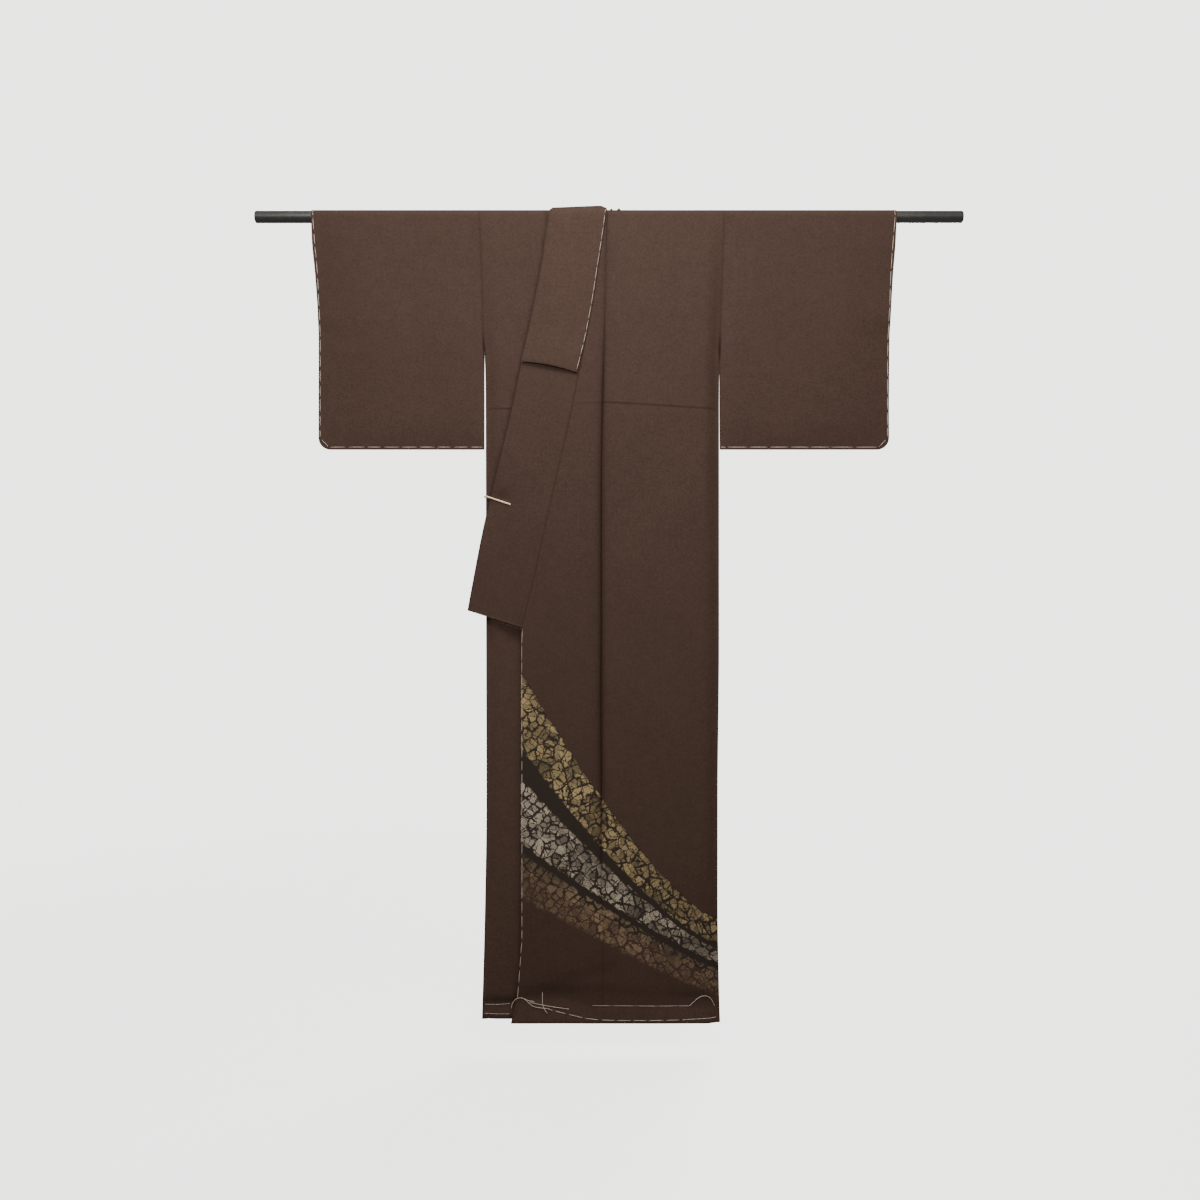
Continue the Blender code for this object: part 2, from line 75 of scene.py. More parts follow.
clipPinch = {"x": -0.2430, "drop": 0.560, "squeeze": 0.55, "reach": 0.050, "spread": 0.070}

# The end of the collar stands on the right front, and holds it flat beside it
collarEnd = {"lift": 0.0024, "drop": 0.812, "spread": 0.034, "flat": (0.012, 0.800, 0.045)}

# Down the centre back the left side is folded in, and the right side steps out over its two layers
pleat = {"step": 0.0022, "stepFrom": -0.060, "settle": 0.100, "sewn": (0.0012, 0.004), "fromFold": (0.055, 0.075)}

sideTable = (
    ("drop", "right", "left", "halfGap"),
    (0.000, -0.2586, 0.2298, 0.0129),
    (0.040, -0.2568, 0.2288, 0.0102),
    (0.090, -0.2548, 0.2270, 0.0073),
    (0.170, -0.2533, 0.2246, 0.0046),
    (0.220, -0.2522, 0.2230, 0.0035),
    (0.256, -0.2502, 0.2212, 0.0026),
    (0.284, -0.2482, 0.2206, 0.0020),
    (0.326, -0.2470, 0.2202, 0.0012),
    (0.370, -0.2466, 0.2200, 0.00052),
    (0.450, -0.2464, 0.2201, 0.00052),
    (0.850, -0.2457, 0.2202, 0.00052),
    (1.170, -0.2450, 0.2174, 0.00052),
    (1.370, -0.2478, 0.2173, 0.00052),
    (1.570, -0.2530, 0.2208, 0.00052),
    (1.610, -0.2542, 0.2222, 0.00052),
)
overlapSeamTable = (
    ("drop", "x"),
    (0.000, -0.0040),
    (0.246, -0.0090),
    (0.398, -0.0128),
    (0.552, -0.0148),
    (0.820, -0.0148),
    (0.966, -0.0152),
    (1.122, -0.0146),
    (1.336, -0.0150),
    (1.446, -0.0122),
    (1.610, -0.0120),
)
collarTable = (
    ("drop", "seam", "free"),
    (0.000, -0.0080, -0.1212),
    (0.046, -0.0140, -0.1275),
    (0.106, -0.0222, -0.1372),
    (0.166, -0.0316, -0.1484),
    (0.226, -0.0428, -0.1612),
    (0.326, -0.0626, -0.1815),
    (0.386, -0.0742, -0.1943),
    (0.446, -0.0877, -0.2082),
    (0.556, -0.1126, -0.2353),
    (0.636, -0.1304, -0.2530),
    (0.724, -0.1496, -0.2700),
    (0.8205, -0.1736, -0.2876),
)
overlapFrontTable = (
    ("drop", "x"),
    (0.8205, -0.1736),
    (0.840, -0.1756),
    (1.446, -0.1760),
    (1.566, -0.1860),
    (1.610, -0.1960),
)
underTable = (
    ("drop", "body", "seam"),
    (0.000, -0.0240, -0.0195),
    (0.060, -0.0215, -0.0110),
    (0.200, -0.0170, 0.0140),
    (0.452, -0.0160, 0.0600),
    (0.818, -0.0160, 0.1340),
    (1.610, -0.0160, 0.1340),
)
underCollarTable = (
    ("drop", "x"),
    (0.000, -0.0068),
    (0.060, -0.0068),
    (0.150, 0.0400),
    (0.300, 0.0820),
    (0.452, 0.1100),
    (0.818, 0.1840),
)
overCollarTable = (
    ("drop", "seam", "free"),
    (0.000, -0.0066, -0.1172),
    (0.046, -0.0131, -0.1236),
    (0.106, -0.0226, -0.1334),
    (0.166, -0.0318, -0.1446),
    (0.226, -0.0429, -0.1580),
    (0.256, -0.0494, -0.1662),
    (0.292, -0.0584, -0.1750),
    (0.314, -0.0642, -0.1806),
)
sleeveTable = (
    ("drop", "rightCuff", "leftCuff", "innerGap", "middleGap", "cuffGap"),
    (0.000, -0.5935, 0.5730, 0.0129, 0.0129, 0.0129),
    (0.050, -0.5920, 0.5712, 0.0095, 0.0115, 0.0104),
    (0.120, -0.5860, 0.5664, 0.0060, 0.0100, 0.0074),
    (0.200, -0.5812, 0.5624, 0.0038, 0.0090, 0.0056),
    (0.240, -0.5806, 0.5610, 0.0032, 0.0085, 0.00052),
    (0.400, -0.5808, 0.5598, 0.0030, 0.0060, 0.00052),
    (0.440, -0.5808, 0.5600, 0.0020, 0.0035, 0.00052),
    (0.4655, -0.5808, 0.5600, 0.00052, 0.00052, 0.00052),
)

# Width of the opening under each arm, between sleeve and body
slitTable = (
    ("drop", "right", "left"),
    (0.250, 0.00015, 0.00015),
    (0.278, 0.0006, 0.00015),
    (0.300, 0.0013, 0.0003),
    (0.330, 0.0021, 0.0008),
    (0.400, 0.0024, 0.0010),
    (0.4655, 0.0026, 0.0013),
)

# Soft creases pressed into the hanging cloth. depth is outward, and lean is how far they wander for each metre of drop.
# They fade out over a share of their length, 0.14 m at most, and are nothing past three half widths.
creaseEnds = {"share": 0.4, "longest": 0.14, "past": 3.0}
creaseTable = {
    "leftFront": (
        # x, top, bottom, half width, depth, lean
        (0.168, 0.05, 0.74, 0.020, 0.0006, -0.010),
        (0.092, 0.42, 1.36, 0.030, -0.0007, 0.016),
        (0.148, 0.92, 1.60, 0.024, 0.0008, 0.022),
        (0.046, 0.09, 0.58, 0.017, 0.0005, 0.000),
        (0.038, 1.04, 1.62, 0.016, -0.0006, -0.012),
        (0.192, 1.20, 1.62, 0.012, -0.0005, 0.000),
    ),
    "leftOverlap": (
        (-0.058, 0.46, 1.30, 0.022, 0.0005, 0.004),
        (-0.128, 0.86, 1.52, 0.018, -0.0005, -0.006),
        (-0.084, 1.18, 1.62, 0.014, 0.0006, 0.010),
    ),
    "rightFront": (
        (-0.206, 0.78, 1.60, 0.014, 0.0007, -0.006),
        (-0.176, 0.04, 0.52, 0.022, -0.0006, -0.020),
        (-0.226, 0.16, 0.62, 0.010, 0.0004, 0.000),
        (-0.188, 1.10, 1.62, 0.010, -0.0006, 0.004),
    ),
    "leftBack": (
        (0.170, 0.06, 0.90, 0.024, 0.0009, -0.014),
        (0.110, 0.30, 1.62, 0.026, -0.0008, 0.010),
        (0.190, 0.98, 1.62, 0.013, 0.0008, 0.000),
        (0.078, 0.82, 1.56, 0.014, 0.0006, -0.010),
    ),
    "rightBack": (
        (-0.208, 0.10, 0.84, 0.020, -0.0008, 0.016),
        (-0.128, 0.05, 0.64, 0.026, 0.0009, -0.012),
        (-0.152, 0.74, 1.62, 0.022, -0.0009, 0.008),
        (-0.072, 0.52, 1.44, 0.024, 0.0008, 0.012),
        (-0.008, 1.02, 1.62, 0.018, -0.0007, -0.006),
        (-0.216, 1.10, 1.62, 0.012, 0.0007, 0.000),
    ),
    "leftSleeve": (
        (0.300, 0.03, 0.40, 0.024, 0.0007, 0.020),
        (0.388, 0.05, 0.46, 0.030, -0.0008, -0.030),
        (0.470, 0.10, 0.46, 0.022, 0.0008, 0.020),
        (0.532, 0.02, 0.30, 0.014, -0.0006, 0.000),
    ),
    "leftSleeveBack": (
        (0.282, 0.08, 0.44, 0.018, -0.0006, 0.030),
        (0.350, 0.03, 0.42, 0.026, 0.0008, 0.020),
        (0.438, 0.06, 0.46, 0.024, -0.0008, -0.020),
        (0.512, 0.12, 0.44, 0.020, 0.0006, 0.000),
    ),
    "rightSleeve": (
        (-0.310, 0.04, 0.46, 0.026, 0.0008, -0.030),
        (-0.396, 0.08, 0.44, 0.024, -0.0007, 0.020),
        (-0.486, 0.03, 0.42, 0.030, 0.0008, 0.030),
        (-0.552, 0.10, 0.40, 0.012, -0.0006, 0.000),
    ),
    "rightSleeveBack": (
        (-0.296, 0.05, 0.40, 0.020, -0.0007, 0.000),
        (-0.372, 0.04, 0.46, 0.028, 0.0008, -0.020),
        (-0.452, 0.10, 0.46, 0.022, -0.0008, 0.020),
        (-0.534, 0.04, 0.38, 0.020, 0.0006, 0.010),
    ),
}

# The tuck across the waist: a low ledge, and a shallow hollow under it. Each line is (drop, slope, strength).
tuck = {
    "height": 0.0007,
    "hollow": 0.0004,
    "above": 0.018,
    "below": 0.012,
    "edge": 0.0022,
    "far": 0.12,
    "lines": {
        "leftFront": (0.3710, 0.060, 1.0),
        "leftOverlap": (0.3720, 0.010, 0.45),
        "rightFront": (0.3830, 0.000, 1.0),
        "leftBack": (0.3800, 0.020, 1.0),
        "rightBack": (0.3815, -0.010, 1.0),
    },
}

# Just above the hem the cloth is hollow, because the hem's turned-up edge is stiffer. A wave is (height, turns, start).
hem = {
    "over": (0.054, 0.013),  # how far up the hollow is, and how far it spreads
    "under": (0.036, 0.010),
    "hollow": 0.0026,
    "lip": 0.0024,
    "slope": (-0.6, 1.0),
    "far": 0.12,
    "hollowWaves": ((-0.45, 21.0, 0.5), (0.20, 47.0, 0.0)),
    "riseWaves": ((0.10, 16.0, 2.2),),
}

# A shallow fold that slants up from the hem basting across the centre seam
slantFold = {"x": -0.140, "soft": 0.02, "end": (-0.01, 0.030), "up": 0.066, "slope": 0.30, "half": 0.012,
             "depth": 0.0013}


def blend(start, end, share):
    return start + (end - start) * share


def ease(start, end, value):
    share = min(1.0, max(0.0, (value - start) / (end - start)))
    return share * share * (3.0 - 2.0 * share)


def fall(start, end, value):
    # From 1 before start to 0 after end
    return 1.0 - ease(start, end, value)


def ramp(start, end, before, after, value):
    # One value before start and another after end, and smooth between them
    return blend(before, after, ease(start, end, value))


def nearTo(distance, reach):
    return math.exp(-(distance / reach) ** 2)


def waves(x, listed):
    return 1.0 + sum(height * math.sin(turns * x + start) for height, turns, start in listed)


def reader(table):
    # One function for each column, that reads it smoothly and never past a row's value
    drops = [row[0] for row in table[1:]]

    def column(index):
        values = [row[index] for row in table[1:]]
        slopes = [(values[k + 1] - values[k]) / (drops[k + 1] - drops[k]) for k in range(len(drops) - 1)]
        tangents = [slopes[0]]
        for before, after in zip(slopes, slopes[1:]):
            tangents.append(2 * before * after / (before + after) if before * after > 0 else 0.0)
        tangents.append(slopes[-1])

        @lru_cache(maxsize=None)
        def at(drop):
            if drop <= drops[0]:
                return values[0]
            if drop >= drops[-1]:
                return values[-1]
            k = max(i for i in range(len(slopes)) if drops[i] <= drop)
            span = drops[k + 1] - drops[k]
            s = (drop - drops[k]) / span
            return ((1 + 2 * s) * (1 - s) ** 2 * values[k] + s * (1 - s) ** 2 * span * tangents[k]
                    + s * s * (3 - 2 * s) * values[k + 1] + s * s * (s - 1) * span * tangents[k + 1])

        return at

    return {name: column(index) for index, name in enumerate(table[0]) if index}


sides = reader(sideTable)
overlapSeam = reader(overlapSeamTable)["x"]
collarEdges = reader(collarTable)
overlapFront = reader(overlapFrontTable)["x"]
underEdges = reader(underTable)
underCollarFree = reader(underCollarTable)["x"]
overCollarEdges = reader(overCollarTable)
sleeveEdges = reader(sleeveTable)
slits = reader(slitTable)


# Forms of the layers

def creased(panel, x, drop):
    total = 0.0
    for place, top, bottom, half, depth, lean in creaseTable[panel]:
        off = x - place - lean * (drop - top)
        if abs(off) < creaseEnds["past"] * half:
            soft = min(creaseEnds["longest"], creaseEnds["share"] * (bottom - top))
            total += depth * nearTo(off, half) * ease(top, top + soft, drop) * fall(bottom - soft, bottom, drop)
    return total


def tucked(panel, x, drop):
    start, slope, strength = tuck["lines"][panel]
    under = drop - start - slope * max(0.0, x)
    if abs(under) > tuck["far"]:
        return 0.0
    if under < 0.0:
        return strength * tuck["height"] * math.exp(under / tuck["above"])
    off = ease(0.0, tuck["edge"], under)
    return strength * (tuck["height"] * (1.0 - off) - tuck["hollow"] * off * math.exp(-under / tuck["below"]))


def hemmed(x, drop, length, layer):
    # Down to the hollow, and then out again to the hem in a long flat slope
    up = length - drop
    if up > hem["far"]:
        return 0.0
    rise, half = hem[layer]
    hollow = hem["hollow"] * waves(x, hem["hollowWaves"])
    rise *= waves(x, hem["riseWaves"])
    if up > rise:
        return -hollow * nearTo(up - rise, half)
    return ramp(*hem["slope"], hem["lip"], -hollow, up / rise)


def relief(panel, x, drop):
    # Creases, tuck and hem together
    length, layer, strength = panelForms[panel]
    return strength * creased(panel, x, drop) + tucked(panel, x, drop) + hemmed(x, drop, body[length], layer)


# Each panel's length, its layer at the hem, and how strong its creases are
panelForms = {
    "leftFront": ("length", "over", 1.0),
    "leftOverlap": ("length", "over", 1.0),
    "rightFront": ("underLength", "under", 1.0),
    "leftBack": ("backLength", "over", 2.3),
    "rightBack": ("backLength", "over", 2.3),
}


def onSlant(x, drop):
    fold = slantFold["x"]
    off = body["length"] - drop - slantFold["up"] - slantFold["slope"] * (x - fold)
    ends = ease(fold - slantFold["soft"], fold + slantFold["soft"], x) * fall(*slantFold["end"], x)
    return nearTo(off, slantFold["half"]) * ends


def seamDip(fromEdge):
    return seam["dip"] * fall(0.0, seam["dipReach"], fromEdge)


def sideDip(fromSide, drop):
    return seamDip(fromSide) * fall(*seam["dipEnd"], drop)


def pinched(x, drop, least, depth):
    beside = nearTo(drop - clipPinch["drop"], clipPinch["spread"])
    inward = nearTo(max(0.0, x - across["armholeRight"]), clipPinch["reach"])
    return blend(least, depth, 1.0 - clipPinch["squeeze"] * beside * inward)


def atSide(depth, drop, fromSide, zone=hang["sideZone"]):
    return ramp(0.0, zone, sides["halfGap"](drop), depth, fromSide)


def frontDepth(drop):
    return ramp(0.0, hang["drawIn"], hang["onRod"], hang["frontAtHem"], drop)


def underDepth(drop):
    return frontDepth(drop) - hang["underStep"] * ease(0.0, hang["underSettle"], drop)


def backDepth(drop):
    return ramp(0.0, hang["drawIn"], hang["onRod"], hang["backAtHem"], drop)


def collarDepth(x, drop):
    raised = (hang["collarOnRod"] - hang["onRod"]) * fall(0.0, hang["underSettle"], drop)
    return pinched(x, drop, hang["atClip"], frontDepth(drop) + raised)


def rolled(fromEdge, radius, depth):
    # A quarter round at a folded edge
    if fromEdge >= radius:
        return 0.0
    share = 1.0 - max(0.0, fromEdge) / radius
    return depth * (1.0 - math.sqrt(1.0 - share * share))


def seamTrough(fromSeam, drop, panel):
    form = trough[panel]
    down = ramp(*trough["top"], drop) * ramp(*trough["bottom"], drop)
    return down * (form["soft"] * fall(0.0, form["reach"], fromSeam) + rolled(fromSeam, form["round"], form["roll"]))


def leftFront(x, drop):
    fromSide = sides["left"](drop) - x
    depth = frontDepth(drop) - seamTrough(x - overlapSeam(drop), drop, "front")
    depth += relief("leftFront", x, drop) - slantFold["depth"] * onSlant(x, drop)
    return atSide(depth, drop, fromSide) - sideDip(fromSide, drop)


def rightFront(x, drop):
    fromSide = x - sides["right"](drop)
    depth = underDepth(drop) + relief("rightFront", x, drop)
    depth += collarEnd["lift"] * nearTo(drop - collarEnd["drop"], collarEnd["spread"])
    flatZone, middle, spread = collarEnd["flat"]
    zone = blend(hang["sideZone"], flatZone, nearTo(drop - middle, spread))
    return pinched(x, drop, sides["halfGap"](drop), atSide(depth, drop, fromSide, zone)) - sideDip(fromSide, drop)


def leftBack(x, drop):
    fromSide = sides["left"](drop) - x
    depth = backDepth(drop) + relief("leftBack", x, drop) * ease(*pleat["fromFold"], x)
    return atSide(depth, drop, fromSide) - sideDip(fromSide, drop)


def rightBack(x, drop):
    start = ramp(body["neckline"], pleat["settle"], across["neckRight"] + seam["gap"], pleat["stepFrom"], drop)
    step = 2 * pleat["step"] * ease(start, across["pleatFold"] - seam["gap"], x)
    fromSide = x - sides["right"](drop)
    depth = atSide(backDepth(drop) + relief("rightBack", x, drop), drop, fromSide) + step
    sewnIn, reach = pleat["sewn"]
    sewn = sewnIn * fall(0.0, reach, across["centreSeam"] - x)
    return pinched(x, drop, sides["halfGap"](drop), depth) - sewn - sideDip(fromSide, drop)


# Painted shade that stands in for the shadows in the seams and beside the folds, from 0 to 1, put into the cloth's
# colour; below 0 it is painted light

# A pair is mostly (strength, reach) or (from, to), and four numbers are (from, to, before, after)
shade = {
    # the tuck across the waist, the armholes and slits, and the collar's joins
    "ledge": (0.13, 0.0024), "ledgeOff": 0.0012, "ledgeWaves": (0.65, 0.35, 61.0, 0.6),
    "armhole": (0.25, 0.0022), "armholeEnd": (0.24, 0.32), "slitTop": (1.15, 0.0240), "slitTopDrop": 0.266,
    "join": (0.24, 0.0020), "joinDown": (0.30, 0.75, 1.0, 0.5), "freeEdge": (0.36, 0.0016),
    # the seam between the left front and the overlap
    "seamCore": (0.58, 0.0050), "seamWider": (0.36, 0.60, 0.9, 1.2),
    "seamWing": 0.44, "seamFrontWing": 0.20, "seamWingReach": 0.0095,
    "seamTop": (0.18, 0.36, 0.40, 1.0), "seamBottom": (1.08, 1.42, 1.0, 0.08),
    # hem and skirt
    "hemLine": (0.62, 0.0050), "hemPaintedLight": 0.34, "hemDark": 0.12, "hemHollow": (0.070, 0.014), "hemFar": 0.16,
    "hemFrontward": (-0.10, -0.02), "hemEdge": (0.034, 0.050), "hemEdgeSoft": (0.005, 0.003),
    "skirtPaintedLight": 0.08, "skirtTop": (0.50, 0.68), "skirtEnd": (1.20, 1.40),
    # the right front, under the collar and the overlap
    "collarLine": (0.60, 0.0046), "rightFrontPaintedLight": 0.25, "rightFrontPaintedLightFrom": (0.78, 0.86),
    "underHemLine": (0.90, 0.0075), "underHem": 0.58, "underHollow": (0.038, 0.0070),
    "underHemPaintedLight": (0.020, 0.030, 0.4, 0.0), "underOverlap": (0.12, 0.030), "behindOverlap": 0.5,
    "overlapRight": 0.5, "overlapRightTo": 1.58, "overlapRightHem": 0.2,
    # below the ends of the collar and the over-collar: painted light at the edge, then painted shadow that fades
    "lit": 2.6, "endMargin": 0.004, "collarEndLine": -0.9,
    "underCollarEnd": 0.80, "underEndSpread": (0.6, 1.7), "underEndLine": (0.0010, 0.0034),
    "underEndReach": (-0.246, -0.185, 0.011, 0.023), "underEndLit": (-0.244, -0.222, 1.5, 1.0),
    "overCollarEnd": 0.76, "overEndSpread": (0.6, 1.25), "overEndLine": (0.0008, 0.0030),
    "overEndReach": (0.0036, 0.0056), "overEndSide": 0.10,
    # beside the clip, and the right sleeve
    "atClip": 0.50, "clipAcross": (0.030, 0.017), "clipDown": (0.006, 0.010),
    "rightSleeve": 0.05, "rightSleeveEnd": (0.26, 0.40),
}


def lineShade(name, distance):
    strength, reach = shade[name]
    return strength * nearTo(distance, reach)


def ledgeShade(panel, x, drop):
    start, slope, strength = tuck["lines"][panel]
    middle, height, turns, first = shade["ledgeWaves"]
    line = lineShade("ledge", drop - start - slope * max(0.0, x) - shade["ledgeOff"])
    return strength * line * (middle + height * math.sin(turns * x + first))


def armholeShade(fromSide, drop):
    strength, reach = shade["armhole"]
    return nearTo(fromSide, reach) * (strength * fall(*shade["armholeEnd"], drop)
                                      + lineShade("slitTop", drop - shade["slitTopDrop"]))


def joinShade(fromJoin, drop):
    return lineShade("join", fromJoin) * ramp(*shade["joinDown"], drop)


def seamShade(fromSeam, drop, wing):
    strength, reach = shade["seamCore"]
    core = strength * nearTo(fromSeam, reach * ramp(*shade["seamWider"], drop))
    along = ramp(*shade["seamTop"], drop) * ramp(*shade["seamBottom"], drop)
    return along * (core + wing * math.exp(-max(0.0, fromSeam) / shade["seamWingReach"]))


def hemShade(x, drop):
    # Painted light on the turned-up edge, and painted shade in the hollow above it towards the front edge
    up = body["length"] - drop
    if up > shade["hemFar"]:
        return 0.0
    towardsFront = fall(*shade["hemFrontward"], x)
    edge = blend(*shade["hemEdge"], towardsFront)
    under, over = shade["hemEdgeSoft"]
    middle, reach = shade["hemHollow"]
    return (lineShade("hemLine", up) - shade["hemPaintedLight"] * fall(edge - under, edge + over, up)
            + shade["hemDark"] * (towardsFront * nearTo(up - middle, reach) + onSlant(x, drop)))


def bodyLeftShade(row, x, drop):
    panel = "leftFront" if isFront(row) else "leftBack"
    total = ledgeShade(panel, x, drop) + armholeShade(sides["left"](drop) - x, drop)
    if panel == "leftBack":
        return total + lineShade("hemLine", body["backLength"] - drop)
    total += seamShade(x - overlapSeam(drop), drop, shade["seamFrontWing"]) + hemShade(x, drop)
    # Painted light over the middle of the left front's skirt
    return total - shade["skirtPaintedLight"] * ease(*shade["skirtTop"], drop) * fall(*shade["skirtEnd"], drop)


def underCollarShade(x, drop, below):
    # On the right front under the collar, or below its end: a line of painted light, and painted shadow under it
    if below < -shade["endMargin"]:
        out = collarEdges["free"](drop) - x
        return lineShade("collarLine", out) if out > 0.0 else shade["collarLine"][0]
    reach = ramp(*shade["underEndReach"], x)
    dark = shade["underCollarEnd"] * fall(*(share * reach for share in shade["underEndSpread"]), below)
    lit = shade["lit"] * ramp(*shade["underEndLit"], x)
    out = overlapFront(drop) - x
    strength, far = shade["underOverlap"]
    return (ramp(*shade["underEndLine"], -lit, dark, below) + strength * math.exp(-out / far)
            + lineShade("collarLine", out))


def bodyRightShade(row, x, drop):
    panel = "rightFront" if isFront(row) else "rightBack"
    up = body["underLength"] - drop
    total = ledgeShade(panel, x, drop) + armholeShade(x - sides["right"](drop), drop) + lineShade("underHemLine", up)
    if panel == "rightBack":
        return total
    below = drop - collar["length"] * blend(1.0, collar["slant"], (collarEdges["seam"](drop) - x) / collar["width"])
    margin = shade["endMargin"]
    # Painted shade where the right front lies behind the overlap
    if below >= -margin and overlapFront(drop) - x < -margin:
        return shade["behindOverlap"]
    middle, reach = shade["underHollow"]
    # Painted light from the collar's end down, painted shade in the hollow above the hem and painted light below it
    total -= shade["rightFrontPaintedLight"] * ease(*shade["rightFrontPaintedLightFrom"], drop)
    total += shade["underHem"] * (nearTo(up - middle, reach) - ramp(*shade["underHemPaintedLight"], up))
    return total + underCollarShade(x, drop, below)


# Making sheets

# Where each piece starts in the weave, so that no two have the same clouds in it
weaveStart = {"sleeve": 3.0, "overlapLeft": 5.0, "overlapRight": 7.0, "collarLeft": 9.0, "collarRight": 11.0,
              "collarBack": 13.0, "overCollar": 15.0}


def spaced(width, step, edges=(0.0008, 0.0018, 0.0030, 0.0046, 0.0066, 0.0095, 0.0140)):
    # Shares from 0 to 1 across a sheet, closer together at both of its edges
    near = [place / width for place in edges]
    inner = max(2, round((width - 2 * edges[-1]) / step))
    first, last = near[-1], 1.0 - near[-1]
    middle = [blend(first, last, k / inner) for k in range(1, inner)]
    return [0.0] + near + middle + [1.0 - place for place in reversed(near)] + [1.0]


# Rows close together: (from, to, step)
tuckRows = (0.362, 0.392, 0.0016)


def downTo(length, step=0.009, close=(tuckRows,)):
    # Drops from just below the rod down, closer together at the top, at the end and in the close stretches
    close += ((0.0, 0.030, 0.004), (length - 0.016, length, 0.004))
    drops = []
    drop = 0.004
    while drop < length - 0.0012:
        drops.append(round(drop, 5))
        drop += min([short for start, end, short in close if start < drop < end] + [step])
    return drops + [length]


def overRod(frontDrops, backDrops, turns=20):
    rows = [(0.0, drop) for drop in sorted(frontDrops, reverse=True)]
    rows += [(math.pi * k / turns, 0.0) for k in range(turns + 1)]
    return rows + [(math.pi, drop) for drop in sorted(backDrops)]


def isFront(row):
    return row[0] < math.pi / 2


def alongCloth(row):
    # Length along the cloth from the foot of the rod's front, for the weave
    angle, drop = row
    return angle * hang["onRod"] + (-drop if isFront(row) else drop)


def onRod(angle, x, radius):
    return (x, -radius * math.cos(angle), radius * math.sin(angle))


def hung(row, x, front, back):
    angle, drop = row
    if drop == 0.0:
        return onRod(angle, x, hang["onRod"])
    return (x, -front(x, drop), -drop) if isFront(row) else (x, back(x, drop), -drop)


def linked(name, data):
    item = bpy.data.objects.new(name, data)
    bpy.context.scene.collection.objects.link(item)
    return item


def meshOf(bm, name, finish):
    mesh = bpy.data.meshes.new(name)
    bm.to_mesh(mesh)
    bm.free()
    mesh.materials.append(finish)
    return mesh


def applied(item):
    # The mesh that the item's modifiers or its curve make
    bpy.context.view_layer.update()
    return bpy.data.meshes.new_from_object(item.evaluated_get(bpy.context.evaluated_depsgraph_get()))


def makeSheet(name, rows, columns, place, flat, wall, finish, cutAway=None, pattern=None, roundEdge=0.0,
              paintedLightAndShade=None):
    # place puts a row and column in the room, flat on the flat cloth and pattern on the bands
    bm = bmesh.new()
    clothMap = bm.loops.layers.uv.new("cloth")
    bandMap = bm.loops.layers.uv.new("bands")
    # The fold attribute holds each point's painted shade, and painted light where it is below 0
    paintedLightAndShadeLayer = bm.verts.layers.float.new("fold")
    lastRow, lastColumn = len(rows) - 1, len(columns) - 1
    bmesh.ops.create_grid(bm, x_segments=lastColumn, y_segments=lastRow, size=0.5)
    rowOf = {vert: round((vert.co.y + 0.5) * lastRow) for vert in bm.verts}
    columnOf = {vert: round((vert.co.x + 0.5) * lastColumn) for vert in bm.verts}
    if cutAway:
        gone = [face for face in bm.faces
                if cutAway(rows[min(rowOf[vert] for vert in face.verts)],
                           columns[max(columnOf[vert] for vert in face.verts)])]
        bmesh.ops.delete(bm, geom=gone, context="FACES")
    for vert in bm.verts:
        row, column = rows[rowOf[vert]], columns[columnOf[vert]]
        vert.co = place(row, column)
        onCloth = flat(row, column)
        onBands = pattern(row, vert.co.x, -vert.co.z) if pattern else (0.0, -9.0)
        vert[paintedLightAndShadeLayer] = min(1.0, paintedLightAndShade(row, vert.co.x, max(0.0, -vert.co.z))) if paintedLightAndShade else 0.0
        for loop in vert.link_loops:
            loop[clothMap].uv = onCloth
            loop[bandMap].uv = onBands
    bmesh.ops.recalc_face_normals(bm, faces=bm.faces)
    piece = linked(name, meshOf(bm, name, finish))
    shell = piece.modifiers.new("wall", "SOLIDIFY")
    shell.thickness = wall
    shell.offset = 0.0
    shell.use_even_offset = True
    if roundEdge:
        rounding = piece.modifiers.new("roundEdge", "BEVEL")
        rounding.width = roundEdge
        rounding.segments = 2
        rounding.limit_method = "ANGLE"
        rounding.angle_limit = math.radians(60)
    finished = applied(piece)
    piece.modifiers.clear()
    piece.data = finished
    finished.name = name
    finished.shade_smooth()
    finished.set_sharp_from_angle(angle=math.radians(50))
    return piece


# Node groups

def feed(tree, socket, value):
    # A value is a number, a colour, a vector or another node's socket
    if hasattr(value, "links"):
        tree.links.new(value, socket)
    else:
        socket.default_value = (*value, 1.0) if socket.type == "RGBA" else value


def feedAll(tree, node, inputs):
    for label, value in inputs.items():
        feed(tree, node.inputs[label.replace("_", " ")], value)


def newNode(tree, kind, values=(), settings=None, **inputs):
    node = tree.nodes.new(kind)
    for name, setting in (settings or {}).items():
        setattr(node, name, setting)
    for socket, value in zip(node.inputs, values):
        feed(tree, socket, value)
    feedAll(tree, node, inputs)
    return node


def newGroup(name, inputs, outputs):
    group = bpy.data.node_groups.new(name, "ShaderNodeTree")
    for label in inputs:
        group.interface.new_socket(label, in_out="INPUT", socket_type="NodeSocketVector")
    for label, kind in outputs:
        group.interface.new_socket(label, in_out="OUTPUT", socket_type="NodeSocket" + kind)
    return group, group.nodes.new("NodeGroupInput"), group.nodes.new("NodeGroupOutput")


def maths(tree, operation, *values, clamp=False):
    return newNode(tree, "ShaderNodeMath", values, {"operation": operation, "use_clamp": clamp}).outputs[0]


def vectorMaths(tree, operation, *values):
    return newNode(tree, "ShaderNodeVectorMath", values, {"operation": operation}).outputs


def times(tree, first, second):
    return maths(tree, "MULTIPLY", first, second)


